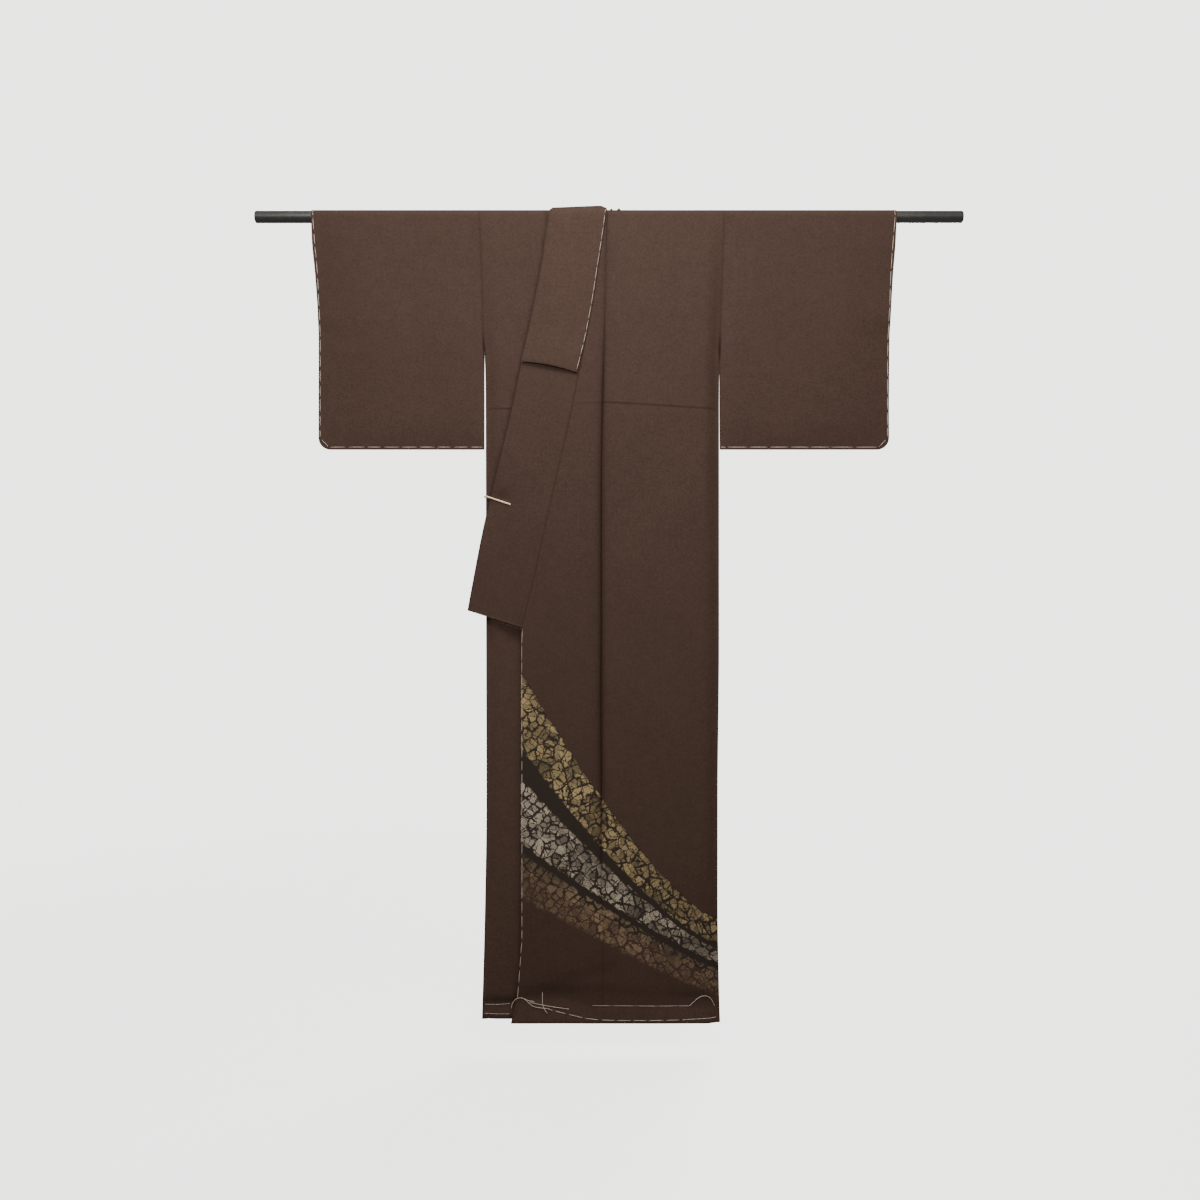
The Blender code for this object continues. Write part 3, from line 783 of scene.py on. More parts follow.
def remap(tree, value, low, high, toLow=0.0, toHigh=1.0, smooth=True):
    kind = {"interpolation_type": "SMOOTHSTEP" if smooth else "LINEAR"}
    return newNode(tree, "ShaderNodeMapRange", (value, low, high, toLow, toHigh), kind).outputs["Result"]


def stretched(tree, vector, scale, turn=0.0):
    return newNode(tree, "ShaderNodeMapping", Vector=vector, Rotation=(0.0, 0.0, turn), Scale=scale).outputs["Vector"]


def noisy(tree, vector, scale, detail=2.0, roughness=0.5):
    return newNode(tree, "ShaderNodeTexNoise", Vector=vector, Scale=scale, Detail=detail,
                   Roughness=roughness).outputs["Fac"]


def jagged(tree, vector, scale, amount):
    # Shifts places about in small uneven steps
    rough = newNode(tree, "ShaderNodeTexNoise", Vector=vector, Scale=scale).outputs["Color"]
    return vectorMaths(tree, "MULTIPLY_ADD", rough, (amount, amount, 0.0), vector)[0]


def mixed(tree, share, first, second):
    node = newNode(tree, "ShaderNodeMix", settings={"data_type": "RGBA"})
    for index, value in ((0, share), (6, first), (7, second)):
        feed(tree, node.inputs[index], value)
    return node.outputs[2]


def parts(tree, vector):
    return newNode(tree, "ShaderNodeSeparateXYZ", (vector,)).outputs


weave = {
    "warpPitch": 0.0009,
    "weftPitch": 0.0008,
    "slubStretch": (620.0, 13.0, 1.0),
    "noises": {
        # scale, detail, roughness, share of the tone
        "grain": (420.0, 3.0, 0.60, 0.70),
        "crepe": (170.0, 2.0, 0.60, 0.45),
        "slub": (1.0, 2.0, 0.55, 0.14),
        "cloud": (8.0, 3.0, 0.50, 0.16),
        "mottle": (48.0, 2.0, 0.60, 0.24),
    },
    "threadHeight": 0.35,
    "grainHeight": 0.9,
}


def makeWeaveGroup():
    # Plain crepe: crossed threads, an uneven grain, slubs along the warp and slow clouds of tone
    group, start, end = newGroup("silkWeave", ["Vector"], [("Tone", "Float"), ("Height", "Float")])
    vector = start.outputs["Vector"]
    split = parts(group, vector)
    warp, weft = (maths(group, "SINE", times(group, split[axis], 2 * math.pi / weave[pitch]))
                  for axis, pitch in (("X", "warpPitch"), ("Y", "weftPitch")))
    crossed = maths(group, "MULTIPLY_ADD", times(group, warp, weft), 0.5, 0.5)
    tone = grain = None
    for name, (scale, detail, roughness, share) in weave["noises"].items():
        along = stretched(group, vector, weave["slubStretch"]) if name == "slub" else vector
        noise = noisy(group, along, scale, detail, roughness)
        uneven = maths(group, "SUBTRACT", noise, 0.5)
        if name == "grain":
            grain = noise
            tone = maths(group, "MULTIPLY_ADD", uneven, share, 1.0)
        else:
            tone = maths(group, "ADD", tone, times(group, uneven, share))
    height = maths(group, "ADD", times(group, crossed, weave["threadHeight"]),
                   times(group, grain, weave["grainHeight"]))
    feedAll(group, end, {"Tone": tone, "Height": height})
    return group


leaf = {
    "crackles": (
        # cells a metre, width of crack, squash
        (56.0, 0.094, (1.0, 0.72, 1.0)),
        (92.0, 0.066, (0.62, 1.0, 1.0)),
    ),
    "turn": 0.70,
    "jag": (240.0, 0.0055),
    "ragged": (75.0, 0.30),
    "wornStretch": (420.0, 900.0, 1.0),
    # from, to, value before, value after
    "crackWidth": (0.34, 0.66, 0.35, 1.65),
    "tone": (0.12, 0.85, 0.28, 1.15),
    "worn": (0.38, 0.60, 0.25, 1.0),
    "patches": (0.34, 0.62, 0.66, 1.14),
    "behind": (-0.30, -0.02, 0.0, 0.62),
    "frontward": (0.02, 0.26, 1.0, 1.55),
    "bronzeFade": (0.22, 0.38, 0.80, 0.45),
    "groundFrom": (-0.28, -0.05),
    "gold": (0.43, 0.32, 0.155),
    "silver": (0.46, 0.39, 0.30),
    "bronze": (0.295, 0.205, 0.120),
    "ground": (0.0205, 0.0142, 0.0106),
}


def crackled(group, cloth, place, scale, crack):
    # Cells of leaf with open cracks of uneven width between them: where the leaf is, and each cell's tone
    edge, cell = (newNode(group, "ShaderNodeTexVoronoi", (), {"voronoi_dimensions": "2D", "feature": feature},
                          Vector=place, Scale=scale) for feature in ("DISTANCE_TO_EDGE", "F1"))
    width = remap(group, noisy(group, cloth, 55.0, 1.0), *leaf["crackWidth"], smooth=False)
    distance = maths(group, "DIVIDE", edge.outputs["Distance"], width)
    tone = newNode(group, "ShaderNodeSeparateColor", (cell.outputs["Color"],)).outputs[0]
    return remap(group, distance, crack * 0.60, crack * 1.15), tone


def makeLeafGroup():
    # Bands of crackled metal leaf. Place is (round the body, number of the band), Cloth is the flat cloth in metres.
    group, start, end = newGroup("crackledLeaf", ["Place", "Cloth"],
                                 [("Leaf", "Float"), ("Ground", "Float"), ("Colour", "Color")])
    cloth = start.outputs["Cloth"]
    split = parts(group, start.outputs["Place"])
    around = split["X"]
    raggedScale, raggedAmount = leaf["ragged"]
    ragged = maths(group, "SUBTRACT", noisy(group, cloth, raggedScale, 2.0), 0.5)
    band = maths(group, "MULTIPLY_ADD", ragged, raggedAmount, split["Y"])

    def within(low, high, soft=0.05):
        return times(group, remap(group, band, low - soft, low + soft),
                     remap(group, band, high - soft, high + soft, 1.0, 0.0))

    goldBand, silverBand = within(0.0, 1.0), within(2.0, 3.0)
    bronzeBand = times(group, within(4.0, 5.0, 0.12), remap(group, around, *leaf["bronzeFade"]))
    ground = within(-0.04, 4.3, 0.06)
    bands = maths(group, "ADD", maths(group, "ADD", goldBand, silverBand), bronzeBand, clamp=True)

    turned = stretched(group, cloth, (1.0, 1.0, 1.0), leaf["turn"])
    (coarse, coarseTone), (fine, fineTone) = (
        crackled(group, cloth, jagged(group, stretched(group, turned, squash), *leaf["jag"]), scale, crack)
        for scale, crack, squash in leaf["crackles"])
    tone = maths(group, "ADD", times(group, coarseTone, 0.55), times(group, fineTone, 0.45))
    tone = remap(group, tone, *leaf["tone"], smooth=False)

    # The leaf is worn along the threads, thinner in patches, and brighter towards the front edge
    worn = noisy(group, stretched(group, cloth, leaf["wornStretch"]), 1.0, 2.0, 0.7)
    worn = remap(group, worn, *leaf["worn"])
    sweep = times(group, remap(group, around, *leaf["behind"]), remap(group, around, *leaf["frontward"]))
    patches = remap(group, noisy(group, cloth, 16.0, 2.0), *leaf["patches"])
    strength = times(group, times(group, tone, worn), times(group, sweep, patches))
    covered = times(group, bands, times(group, coarse, fine))

    colour = mixed(group, silverBand, leaf["gold"], leaf["silver"])
    feedAll(group, end, {
        "Leaf": maths(group, "MULTIPLY", covered, strength, clamp=True),
        "Ground": times(group, ground, remap(group, around, *leaf["groundFrom"])),
        "Colour": mixed(group, remap(group, band, 3.4, 3.6), colour, leaf["bronze"])})
    return group


weaveGroup = makeWeaveGroup()
leafGroup = makeLeafGroup()


def newMaterial(name, **settings):
    material = bpy.data.materials.new(name)
    material.use_nodes = True
    shader = material.node_tree.nodes["Principled BSDF"]
    feedAll(material.node_tree, shader, settings)
    return material, material.node_tree, shader


def uvMap(tree, name):
    return newNode(tree, "ShaderNodeUVMap", settings={"uv_map": name}).outputs["UV"]


def onPiece(tree):
    return newNode(tree, "ShaderNodeTexCoord").outputs["Object"]


def placed(tree, group, **inputs):
    return newNode(tree, "ShaderNodeGroup", settings={"node_tree": group}, **inputs).outputs


def bumped(tree, height, distance, strength, shader):
    bump = newNode(tree, "ShaderNodeBump", Distance=distance, Strength=strength, Height=height)
    feed(tree, shader.inputs["Normal"], bump.outputs["Normal"])


silkFinish = {
    "plain": ((0.0290, 0.0155, 0.0108), (0.0520, 0.0290, 0.0205)),  # dark and light
    # lighter tones of the same silk: painted light on the over-collar, which stands lifted off the collar
    "flapPaintedLight": ((0.0320, 0.0170, 0.0120), (0.0560, 0.0310, 0.0220)),
    # the dark colour that the painted shade mixes in
    "paintedShadeColour": (0.0135, 0.0046, 0.0016),
    "roughness": 0.74,
    "uneven": 0.05,
    "leafMetal": 0.35,
    "leafSmooth": 0.22,
    "bump": (0.0005, 0.45),
    "shader": {"Specular IOR Level": 0.16, "Sheen Weight": 0.06, "Sheen Roughness": 0.45,
               "Sheen Tint": (0.62, 0.48, 0.42)},
}


def makeSilk(name, tones, banded=False):
    rough, uneven = silkFinish["roughness"], silkFinish["uneven"]
    material, tree, shader = newMaterial(name, Roughness=rough, **silkFinish["shader"])
    cloth = uvMap(tree, "cloth")
    threads = placed(tree, weaveGroup, Vector=cloth)
    colour = mixed(tree, remap(tree, threads["Tone"], 0.75, 1.25, smooth=False), *tones)
    fold = newNode(tree, "ShaderNodeAttribute", settings={"attribute_name": "fold"}).outputs["Fac"]
    roughness = remap(tree, threads["Tone"], 0.75, 1.25, rough + uneven, rough - uneven, smooth=False)
    if banded:
        crackle = placed(tree, leafGroup, Place=uvMap(tree, "bands"), Cloth=cloth)
        colour = mixed(tree, crackle["Ground"], colour, leaf["ground"])
        colour = mixed(tree, crackle["Leaf"], colour, crackle["Colour"])
        feedAll(tree, shader, {"Metallic": times(tree, crackle["Leaf"], silkFinish["leafMetal"])})
        smoother = times(tree, crackle["Leaf"], silkFinish["leafSmooth"])
        roughness = maths(tree, "SUBTRACT", roughness, smoother)
    # Painted shade from the fold attribute mixes the colour towards a dark brown, and below 0 it is painted light that
    # lightens it
    colour = mixed(tree, fold, colour, silkFinish["paintedShadeColour"])
    colour.node.clamp_factor = False  # below 0 it lightens
    feedAll(tree, shader, {"Base Color": colour, "Roughness": roughness})
    bumped(tree, threads["Height"], *silkFinish["bump"], shader)
    return material


silk = makeSilk("silk", silkFinish["plain"])
bandedSilk = makeSilk("bandedSilk", silkFinish["plain"], banded=True)
paintedLitFlapSilk = makeSilk("paintedLitFlapSilk", silkFinish["flapPaintedLight"])
print("silk made")


# Body: one length of cloth a side, front, shoulder and back

body = {
    "length": 1.610,
    "backLength": 1.604,
    "underLength": 1.602,
    "width": 0.230,
    "neckline": 0.025,
    "wall": 0.0010,
    "step": 0.0085,
    "foldSteps": 6,
    "pleatAlong": (0.235, 0.010),
    "neckAlong": 0.252,
    "pleatColumns": (0.005, 0.018, 0.032, 0.045, 0.054),
    "neckColumns": (-0.006, 0.003, 0.012, 0.021, 0.030, 0.039, 0.046, 0.051, 0.0540, 0.0560, 0.0572),
}

# Rows close together at the seams, the collar's end and the hem
skirtRows = (tuckRows, (1.500, 1.555, 0.0060), (1.555, 1.585, 0.0035))
underRows = (tuckRows, (0.784, 0.838, 0.0018), (1.555, 1.580, 0.0025))

# Bands on the skirt: where each one's edge meets the left side seam, how far it has climbed at the overlap's front
# edge, how evenly it climbs, and how far it has sunk behind
bands = {
    "sideX": 0.216,
    "reach": 0.392,
    "backPower": 0.90,
    "beyond": 0.05,
    "edges": (
        # side drop, climb, power, sink
        (1.402, 0.494, 1.36, 0.490),
        (1.452, 0.392, 1.36, 0.475),
        (1.459, 0.336, 1.25, 0.465),
        (1.490, 0.236, 1.16, 0.450),
        (1.502, 0.234, 1.12, 0.445),
        (1.552, 0.196, 1.12, 0.440),
    ),
}


def bandPlace(row, x, drop):
    # How far round the body from the left side seam, and the number of the band with the share across it
    around = (bands["sideX"] - x) * (1.0 if isFront(row) else -1.0)
    share = abs(around) / bands["reach"]
    edges = [sideDrop - climb * share ** power if around >= 0.0 else sideDrop + sink * share ** bands["backPower"]
             for sideDrop, climb, power, sink in bands["edges"]]
    if drop <= edges[0]:
        return (around, (drop - edges[0]) / bands["beyond"])
    for number, (above, below) in enumerate(zip(edges, edges[1:])):
        if drop <= below:
            return (around, number + (drop - above) / (below - above))
    return (around, len(edges) - 1 + (drop - edges[-1]) / bands["beyond"])


def onMain(column):
    return column[0] == "main"


def cutNeck(row, column):
    # The cloth past the neck is only behind, below the neckline
    return not onMain(column) and (isFront(row) or row[1] < body["neckline"])


def makeBodyLeft():
    turnStart = across["pleatFold"] + pleat["step"] / 2
    steps = body["foldSteps"]
    columns = [("main", share) for share in spaced(body["width"], body["step"])]
    columns += [("flat", turnStart)]
    columns += [("turn", math.pi * k / steps) for k in range(1, steps)]
    columns += [("return", x) for x in (turnStart, *body["pleatColumns"], across["centreSeam"])]
    rows = overRod(downTo(body["length"], close=skirtRows), [body["neckline"]] + downTo(body["backLength"]))

    def place(row, column):
        kind, value = column
        drop = row[1]
        if onMain(column):
            edge = overlapSeam(drop) + trough["seam"] / 2 if isFront(row) else across["neckLeft"]
            return hung(row, blend(sides["left"](drop), edge, value), leftFront, leftBack)
        depth = backDepth(drop)
        if kind == "turn":
            x = across["pleatFold"] + pleat["step"] / 2 * (1.0 - math.sin(value))
            return (x, depth + pleat["step"] / 2 * (1.0 - math.cos(value)), -drop)
        return (value, depth + (pleat["step"] if kind == "return" else 0.0), -drop)

    def flat(row, column):
        kind, value = column
        if onMain(column):
            return (value * body["width"], alongCloth(row))
        folded, back = body["pleatAlong"]
        return (folded + (back + value if kind == "return" else 0.0), alongCloth(row))

    piece = makeSheet("bodyLeft", rows, columns, place, flat, body["wall"], bandedSilk, cutNeck, bandPlace,
                      paintedLightAndShade=bodyLeftShade)
    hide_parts("front_left", "back_left")
    return piece


def makeBodyRight():
    columns = [("main", share) for share in spaced(body["width"], body["step"])]
    columns += [("neck", x) for x in (across["pleatFold"] - seam["gap"], *body["neckColumns"], across["centreSeam"])]
    rows = overRod(downTo(body["underLength"], close=underRows), [body["neckline"]] + downTo(body["backLength"]))

    def place(row, column):
        value, drop = column[1], row[1]
        if not onMain(column):
            return (value, rightBack(value, drop), -drop)
        edge = underEdges["body"](drop) - seam["gap"] / 2 if isFront(row) else across["neckRight"]
        return hung(row, blend(sides["right"](drop), edge, value), rightFront, rightBack)

    def flat(row, column):
        return (column[1] * body["width"] if onMain(column) else body["neckAlong"] + column[1], alongCloth(row))

    piece = makeSheet("bodyRight", rows, columns, place, flat, body["wall"], silk, cutNeck, paintedLightAndShade=bodyRightShade)
    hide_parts("front_right", "back_right")
    return piece


# Sleeves: flat bags over the rod

sleeve = {
    "drop": 0.4655,
    "corner": 0.024,
    "creaseEnd": (0.40, 0.455),
    "wall": 0.0010,
    "step": 0.0085,
    "rows": (0.036, 47),
    "fromBottom": (0.0240, 0.0205, 0.0170, 0.0138, 0.0110, 0.0086, 0.0065, 0.0047, 0.0032, 0.0019, 0.0009, 0.0003, 0.0),
    "left": (0.340, 0.971),
    "right": (0.330, 0.971),
}
nearRod = [0.004 * k for k in range(1, 8)]


def outward(side):
    return 1.0 if side == "left" else -1.0


def sleeveInner(side, drop):
    # Sewn to the body down to the opening under the arm, and free below that
    return sides[side](drop) + outward(side) * slits[side](drop)


def sleeveCuff(side, drop):
    cuff = sleeveEdges[side + "Cuff"](drop)
    intoCorner = drop - (sleeve["drop"] - sleeve["corner"])
    if intoCorner > 0.0:
        inset = sleeve["corner"] - math.sqrt(max(0.0, sleeve["corner"] ** 2 - intoCorner ** 2))
        cuff -= outward(side) * inset
    return cuff


def sleeveDepth(side, face, x, drop):
    # Drawn in to the seam at the body, and to the cuff, which is sewn shut below the hand's opening
    fromInner, fromCuff = abs(x - sleeveInner(side, drop)), abs(sleeveCuff(side, drop) - x)
    middle = sleeveEdges["middleGap"](drop)
    nearInner = ease(0.0, hang["sideZone"], fromInner)
    atEdge = ease(-0.5 * hang["cuffZone"], hang["cuffZone"], 0.0)
    nearCuff = (ease(-0.5 * hang["cuffZone"], hang["cuffZone"], fromCuff) - atEdge) / (1.0 - atEdge)
    middle += creased(side + face, x, drop) * nearInner * nearCuff * fall(*sleeve["creaseEnd"], drop)
    depth = (middle - (middle - sleeveEdges["innerGap"](drop)) * (1.0 - nearInner)
             - (middle - sleeveEdges["cuffGap"](drop)) * (1.0 - nearCuff))
    return depth - seamDip(fromInner) * fall(*seam["sleeveDipEnd"], drop)


def makeSleeve(side):
    start, count = sleeve["rows"]
    drops = nearRod + [start + sleeve["step"] * k for k in range(count)]
    drops += [sleeve["drop"] - up for up in sleeve["fromBottom"]]

    def place(row, share):
        x = blend(sleeveInner(side, row[1]), sleeveCuff(side, row[1]), share)
        return hung(row, x, partial(sleeveDepth, side, "Sleeve"), partial(sleeveDepth, side, "SleeveBack"))

    def flat(row, share):
        return (share * sleeve[side][0] + outward(side) * weaveStart["sleeve"], alongCloth(row))

    # Painted shade at the armhole seam and the top of the slit, and over the upper right sleeve
    def paintedLightAndShade(row, x, drop):
        total = armholeShade(abs(x - sleeveInner(side, drop)), drop)
        return total + (shade["rightSleeve"] * fall(*shade["rightSleeveEnd"], drop) if side == "right" else 0.0)

    piece = makeSheet("sleeve" + side.capitalize(), overRod(drops, drops), spaced(sleeve[side][0], sleeve["step"]),
                      place, flat, sleeve["wall"], silk, paintedLightAndShade=paintedLightAndShade)
    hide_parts("sleeve_" + side)
    return piece


# Overlap panels, between the fronts and the collar

overlap = {
    "wall": 0.0010,
    "step": 0.0085,
    "width": 0.165,
    "flatEdge": 0.012,
    "onRod": (1.16, 0.94, 0.72, 0.5, 0.3, 0.12),
    "underWidth": 0.150,
    "underStep": 0.012,
}


def overlapDepth(x, drop):
    onCollar = drop <= collar["length"]
    fromSeam = overlapSeam(drop) - trough["seam"] / 2 - x
    fromFront = x - (collarEdges["seam"] if onCollar else overlapFront)(drop)
    raised = relief("leftOverlap", x, drop) - slantFold["depth"] * onSlant(x, drop)
    depth = collarDepth(x, drop) + raised * ease(0.0, overlap["flatEdge"], fromFront)
    depth -= seamTrough(fromSeam, drop, "overlap")
    return depth - (seamDip(fromFront) if drop < collar["length"] else 0.0)


def makeOverlapLeft():
    # Drops above 0 are angles round the rod, where the panel runs to a point
    rows = [-angle for angle in overlap["onRod"]] + [0.0] + downTo(body["length"], close=skirtRows)

    def place(drop, share):
        if drop < 0.0:
            turned = ease(0.0, math.pi / 2, -drop)
            frontEdge = blend(collarEdges["seam"](0.0), across["neckLeft"] - seam["gap"] / 2, turned)
            edge = overlapSeam(0.0) - trough["seam"] / 2 * (1.0 - turned)
            x = blend(frontEdge + seam["gap"] / 2, edge, share)
            return onRod(-drop, x, overlapDepth(x, 0.0))
        frontEdge = collarEdges["seam"](drop) + seam["gap"] / 2 if drop <= collar["length"] else overlapFront(drop)
        x = blend(frontEdge, overlapSeam(drop) - trough["seam"] * (0.5 - ease(*trough["closed"], drop)), share)
        return (x, -overlapDepth(x, drop), -drop)

    def flat(drop, share):
        return (weaveStart["overlapLeft"] + place(drop, share)[0], -drop if drop > 0.0 else -drop * hang["onRod"])

    def pattern(drop, x, _):
        return bandPlace((0.0, drop), x, drop)

    # Painted shade in the seam, under the tuck, along the collar's seam and at the hem, with painted light on the hem's
    # edge
    def paintedLightAndShade(drop, x, _):
        total = seamShade(overlapSeam(drop) - x, drop, shade["seamWing"]) + ledgeShade("leftOverlap", x, drop)
        if drop < collar["length"]:
            total += joinShade(x - collarEdges["seam"](drop), drop)
        return total + hemShade(x, drop)

    piece = makeSheet("overlapLeft", rows, spaced(overlap["width"], overlap["step"]), place, flat, overlap["wall"],
                      bandedSilk, pattern=pattern, paintedLightAndShade=paintedLightAndShade)
    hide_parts("overlap_left")
    return piece


def makeOverlapRight():
    rows = [0.0] + downTo(body["underLength"], overlap["underStep"])

    def place(drop, share):
        x = blend(underEdges["body"](drop) + seam["gap"] / 2, underEdges["seam"](drop) - seam["gap"] / 2, share)
        return (x, -underDepth(drop) - hemmed(x, drop, body["underLength"], "under"), -drop)

    def flat(drop, share):
        return (weaveStart["overlapRight"] + place(drop, share)[0], -drop)

    # Painted shade over the whole panel, which lies behind the left front, and less at the hem
    def paintedLightAndShade(drop, *_):
        return shade["overlapRight"] if drop < shade["overlapRightTo"] else shade["overlapRightHem"]

    piece = makeSheet("overlapRight", rows, spaced(overlap["underWidth"], overlap["underStep"]), place, flat,
                      overlap["wall"], silk, paintedLightAndShade=paintedLightAndShade)
    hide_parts("overlap_right")
    return piece


# Collar: one strip, in the stretches that lie on the left, round the neck and on the right

collar = {
    "length": 0.8205,
    "slant": 0.9593,
    "topFree": -0.114,
    "tailTip": 0.010,
    "wall": 0.0018,
    "width": 0.114,
    "turns": 16,
    "rows": (0.0085, ((0.286, 0.334, 0.0018),)),
    "columns": (0.112, 0.0075),
    "crown": 0.0006,
    "reliefFrom": (0.02, 0.12),
    "edgeRound": (0.0042, 0.0015),
}


def collarOverRod(row, share, radius, edges, topFree, tail):
    angle, drop = row
    seamOnTop = across["neckLeft"] - seam["gap"]
    if isFront(row):
        turned = ease(0.0, math.pi / 2, angle)
        seamX = blend(edges[0], seamOnTop, turned)
        free = blend(edges[1], topFree, turned)
    else:
        along = (angle - math.pi / 2) * radius + drop
        seamX = seamOnTop
        free = blend(topFree, seamOnTop - collar["tailTip"], along / (math.pi / 2 * radius + tail))
    x = blend(seamX, free, share)
    return onRod(angle, x, radius) if drop == 0.0 else (x, radius, -drop)


def underOverCollarEnd(x, drop):
    # A soft crescent of painted shadow below the turned-down over-collar's end, and painted light right under it
    seamX, free = overCollarEdges["seam"](overCollar["length"]), overCollarEdges["free"](overCollar["length"])
    share = (seamX - x) / (seamX - free)
    if not -0.02 < share < 1.02:
        return 0.0
    crown = math.sin(math.pi * min(1.0, max(0.0, share)))
    below = drop + overCollarPoint(1.0, share).z
    if below < -0.006:
        return 0.0
    least, more = shade["overEndReach"]
    reach = least + more * crown
    dark = shade["overCollarEnd"] * fall(*(part * reach for part in shade["overEndSpread"]), below)
    inside = ease(0.0, shade["overEndSide"], share) * ease(0.0, shade["overEndSide"], 1.0 - share)
    return ramp(*shade["overEndLine"], -shade["lit"] * inside, dark, below)


def makeCollarLeft():
    tail = body["neckline"] - seam["gap"]
    rows = overRod(downTo(collar["length"], *collar["rows"]), [tail * k / 4 for k in (1, 2, 3, 4)], collar["turns"])
    edges = (collarEdges["seam"](0.0) - seam["gap"] / 2, collarEdges["free"](0.0))

    def place(row, share):
        seamDrop = row[1]
        if seamDrop == 0.0 or not isFront(row):
            return collarOverRod(row, share, hang["collarOnRod"], edges, collar["topFree"], tail)
        freeDrop = seamDrop * collar["slant"]
        drop = blend(seamDrop, freeDrop, share)
        seamX, free = collarEdges["seam"](seamDrop), collarEdges["free"](freeDrop)
        x = blend(seamX - seam["gap"] / 2, free, share)
        width = seamX - free
        crown = collar["crown"] * math.sin(math.pi * share) - rolled((1.0 - share) * width, *collar["edgeRound"])
        raised = collarDepth(x, drop) + crown * ease(*collar["reliefFrom"], drop)
        return (x, seamDip(share * width) - raised, -drop)

    def flat(row, share):
        return (weaveStart["collarLeft"] + share * collar["columns"][0], alongCloth(row))

    # Painted shade along the collar's seam and free edge, beside the clip and under the over-collar's end, and painted
    # light on the collar's end row and just under the over-collar's end
    def paintedLightAndShade(row, x, drop):
        if not isFront(row):
            return 0.0
        if row[1] > collar["length"] - 0.001:
            return shade["collarEndLine"]
        (beside, acrossReach), (above, downReach) = shade["clipAcross"], shade["clipDown"]
        atClip = nearTo(x - clipPinch["x"] - beside, acrossReach) * nearTo(drop - clipPinch["drop"] + above, downReach)
        return (joinShade(collarEdges["seam"](drop) - x, drop) + shade["atClip"] * atClip
                + underOverCollarEnd(x, drop) + lineShade("freeEdge", x - collarEdges["free"](drop)))

    piece = makeSheet("collarLeft", rows, spaced(*collar["columns"]), place, flat, collar["wall"], silk,
                      roundEdge=0.0006, paintedLightAndShade=paintedLightAndShade)
    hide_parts("collar_left")
    return piece


collarRight = {
    "width": 0.050,
    "wall": 0.0010,
    "step": 0.012,
    "columns": (0.0, 0.04, 0.12, 0.3, 0.5, 0.7, 0.88, 0.96, 1.0),
}


def makeCollarRight():
    step = collarRight["step"]
    drops = list(nearRod)
    while drops[-1] < collar["length"] - step:
        drops.append(drops[-1] + step)
    rows = overRod(drops + [collar["length"]], (step, body["neckline"] - seam["gap"]))
    seamBehind, freeBehind = across["neckRight"] + seam["gap"], across["neckLeft"] - seam["gap"]

    def place(row, share):
        angle, drop = row
        if not isFront(row) and drop > 0.0:
            return (blend(seamBehind, freeBehind, share), backDepth(drop), -drop)
        behind = math.sin(angle / 2) ** 2 if isFront(row) else 1.0
        seamX = blend(underEdges["seam"](drop) + seam["gap"] / 2, seamBehind, behind)
        x = blend(seamX, blend(underCollarFree(drop), freeBehind, behind), share)
        return (x, -underDepth(drop), -drop) if drop > 0.0 else onRod(angle, x, hang["onRod"])

    def flat(row, share):
        return (weaveStart["collarRight"] + share * collarRight["width"], alongCloth(row))

    piece = makeSheet("collarRight", rows, collarRight["columns"], place, flat, collarRight["wall"], silk)
    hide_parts("collar_right")
    return piece


# Behind the neck the collar is folded, and its fold stands a little proud of the rod in three low humps
collarBack = {
    "foldTop": 0.0122,
    "outside": 0.036,
    "turns": 12,
    "humps": ((0.0048, 0.0082, 0.0040), (0.0200, 0.0086, 0.0042), (0.052, 0.0052, 0.0060)),
    "insideRows": (0.018, 0.012, 0.006, 0.0),
    "outsideRows": (0.0, 0.15, 0.33, 0.5, 0.67, 0.85, 0.96, 1.0),
    "columns": (0.062, 0.0018),
    "wall": 0.0014,
}


def makeCollarBack():
    inner = hang["onRod"] + 1.5 * pleat["step"]
    outer = hang["overCollarOnRod"] + seam["gap"]
    half = (outer - inner) / 2
    turns, foldTop = collarBack["turns"], collarBack["foldTop"]
    rows = [("inner", drop) for drop in (body["neckline"] - seam["gap"], *collarBack["insideRows"])]
    rows += [("turn", math.pi * k / turns) for k in range(turns + 1)]
    rows += [("outer", collarBack["outside"] * share) for share in collarBack["outsideRows"]]
    columns = [blend(across["neckLeft"], across["centreSeam"], share) for share in spaced(*collarBack["columns"])]

    def place(row, x):
        kind, value = row
        if kind != "turn":
            return (x, inner if kind == "inner" else outer, -value)
        hump = sum(height * nearTo(x - middle, reach) for middle, height, reach in collarBack["humps"])
        rise = half * math.sin(value) + max(0.0, math.sin(value)) * hump
        return (x, (inner + outer) / 2 - half * math.cos(value), foldTop + rise)

    def flat(row, x):
        kind, value = row
        length = {"inner": -value, "turn": foldTop + half * value, "outer": 0.035 + value}[kind]
        return (weaveStart["collarBack"] + length, x)

    piece = makeSheet("collarBack", rows, columns, place, flat, collarBack["wall"], silk, roundEdge=0.0005)
    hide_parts("collar_back")
    return piece


overCollar = {
    "length": 0.314,
    "slant": 0.930,
    "topFree": -0.112,
    "topRise": (-0.0015, 0.0034, -0.0011),  # at the seam, beside it and at the free edge
    "sewnTo": 0.13,
    "outside": 0.036,
    "clear": 0.0022,
    "looseTo": 0.1,
    "endLift": 0.0056,
    "liftFrom": 0.72,
    "liftMiddle": (0.6, 0.4),
    "endArch": 0.0040,
    "archFrom": 0.7,
    "wall": 0.0010,
    "rows": (0.012, 44),
    "columns": (0.107, 0.0060),
}


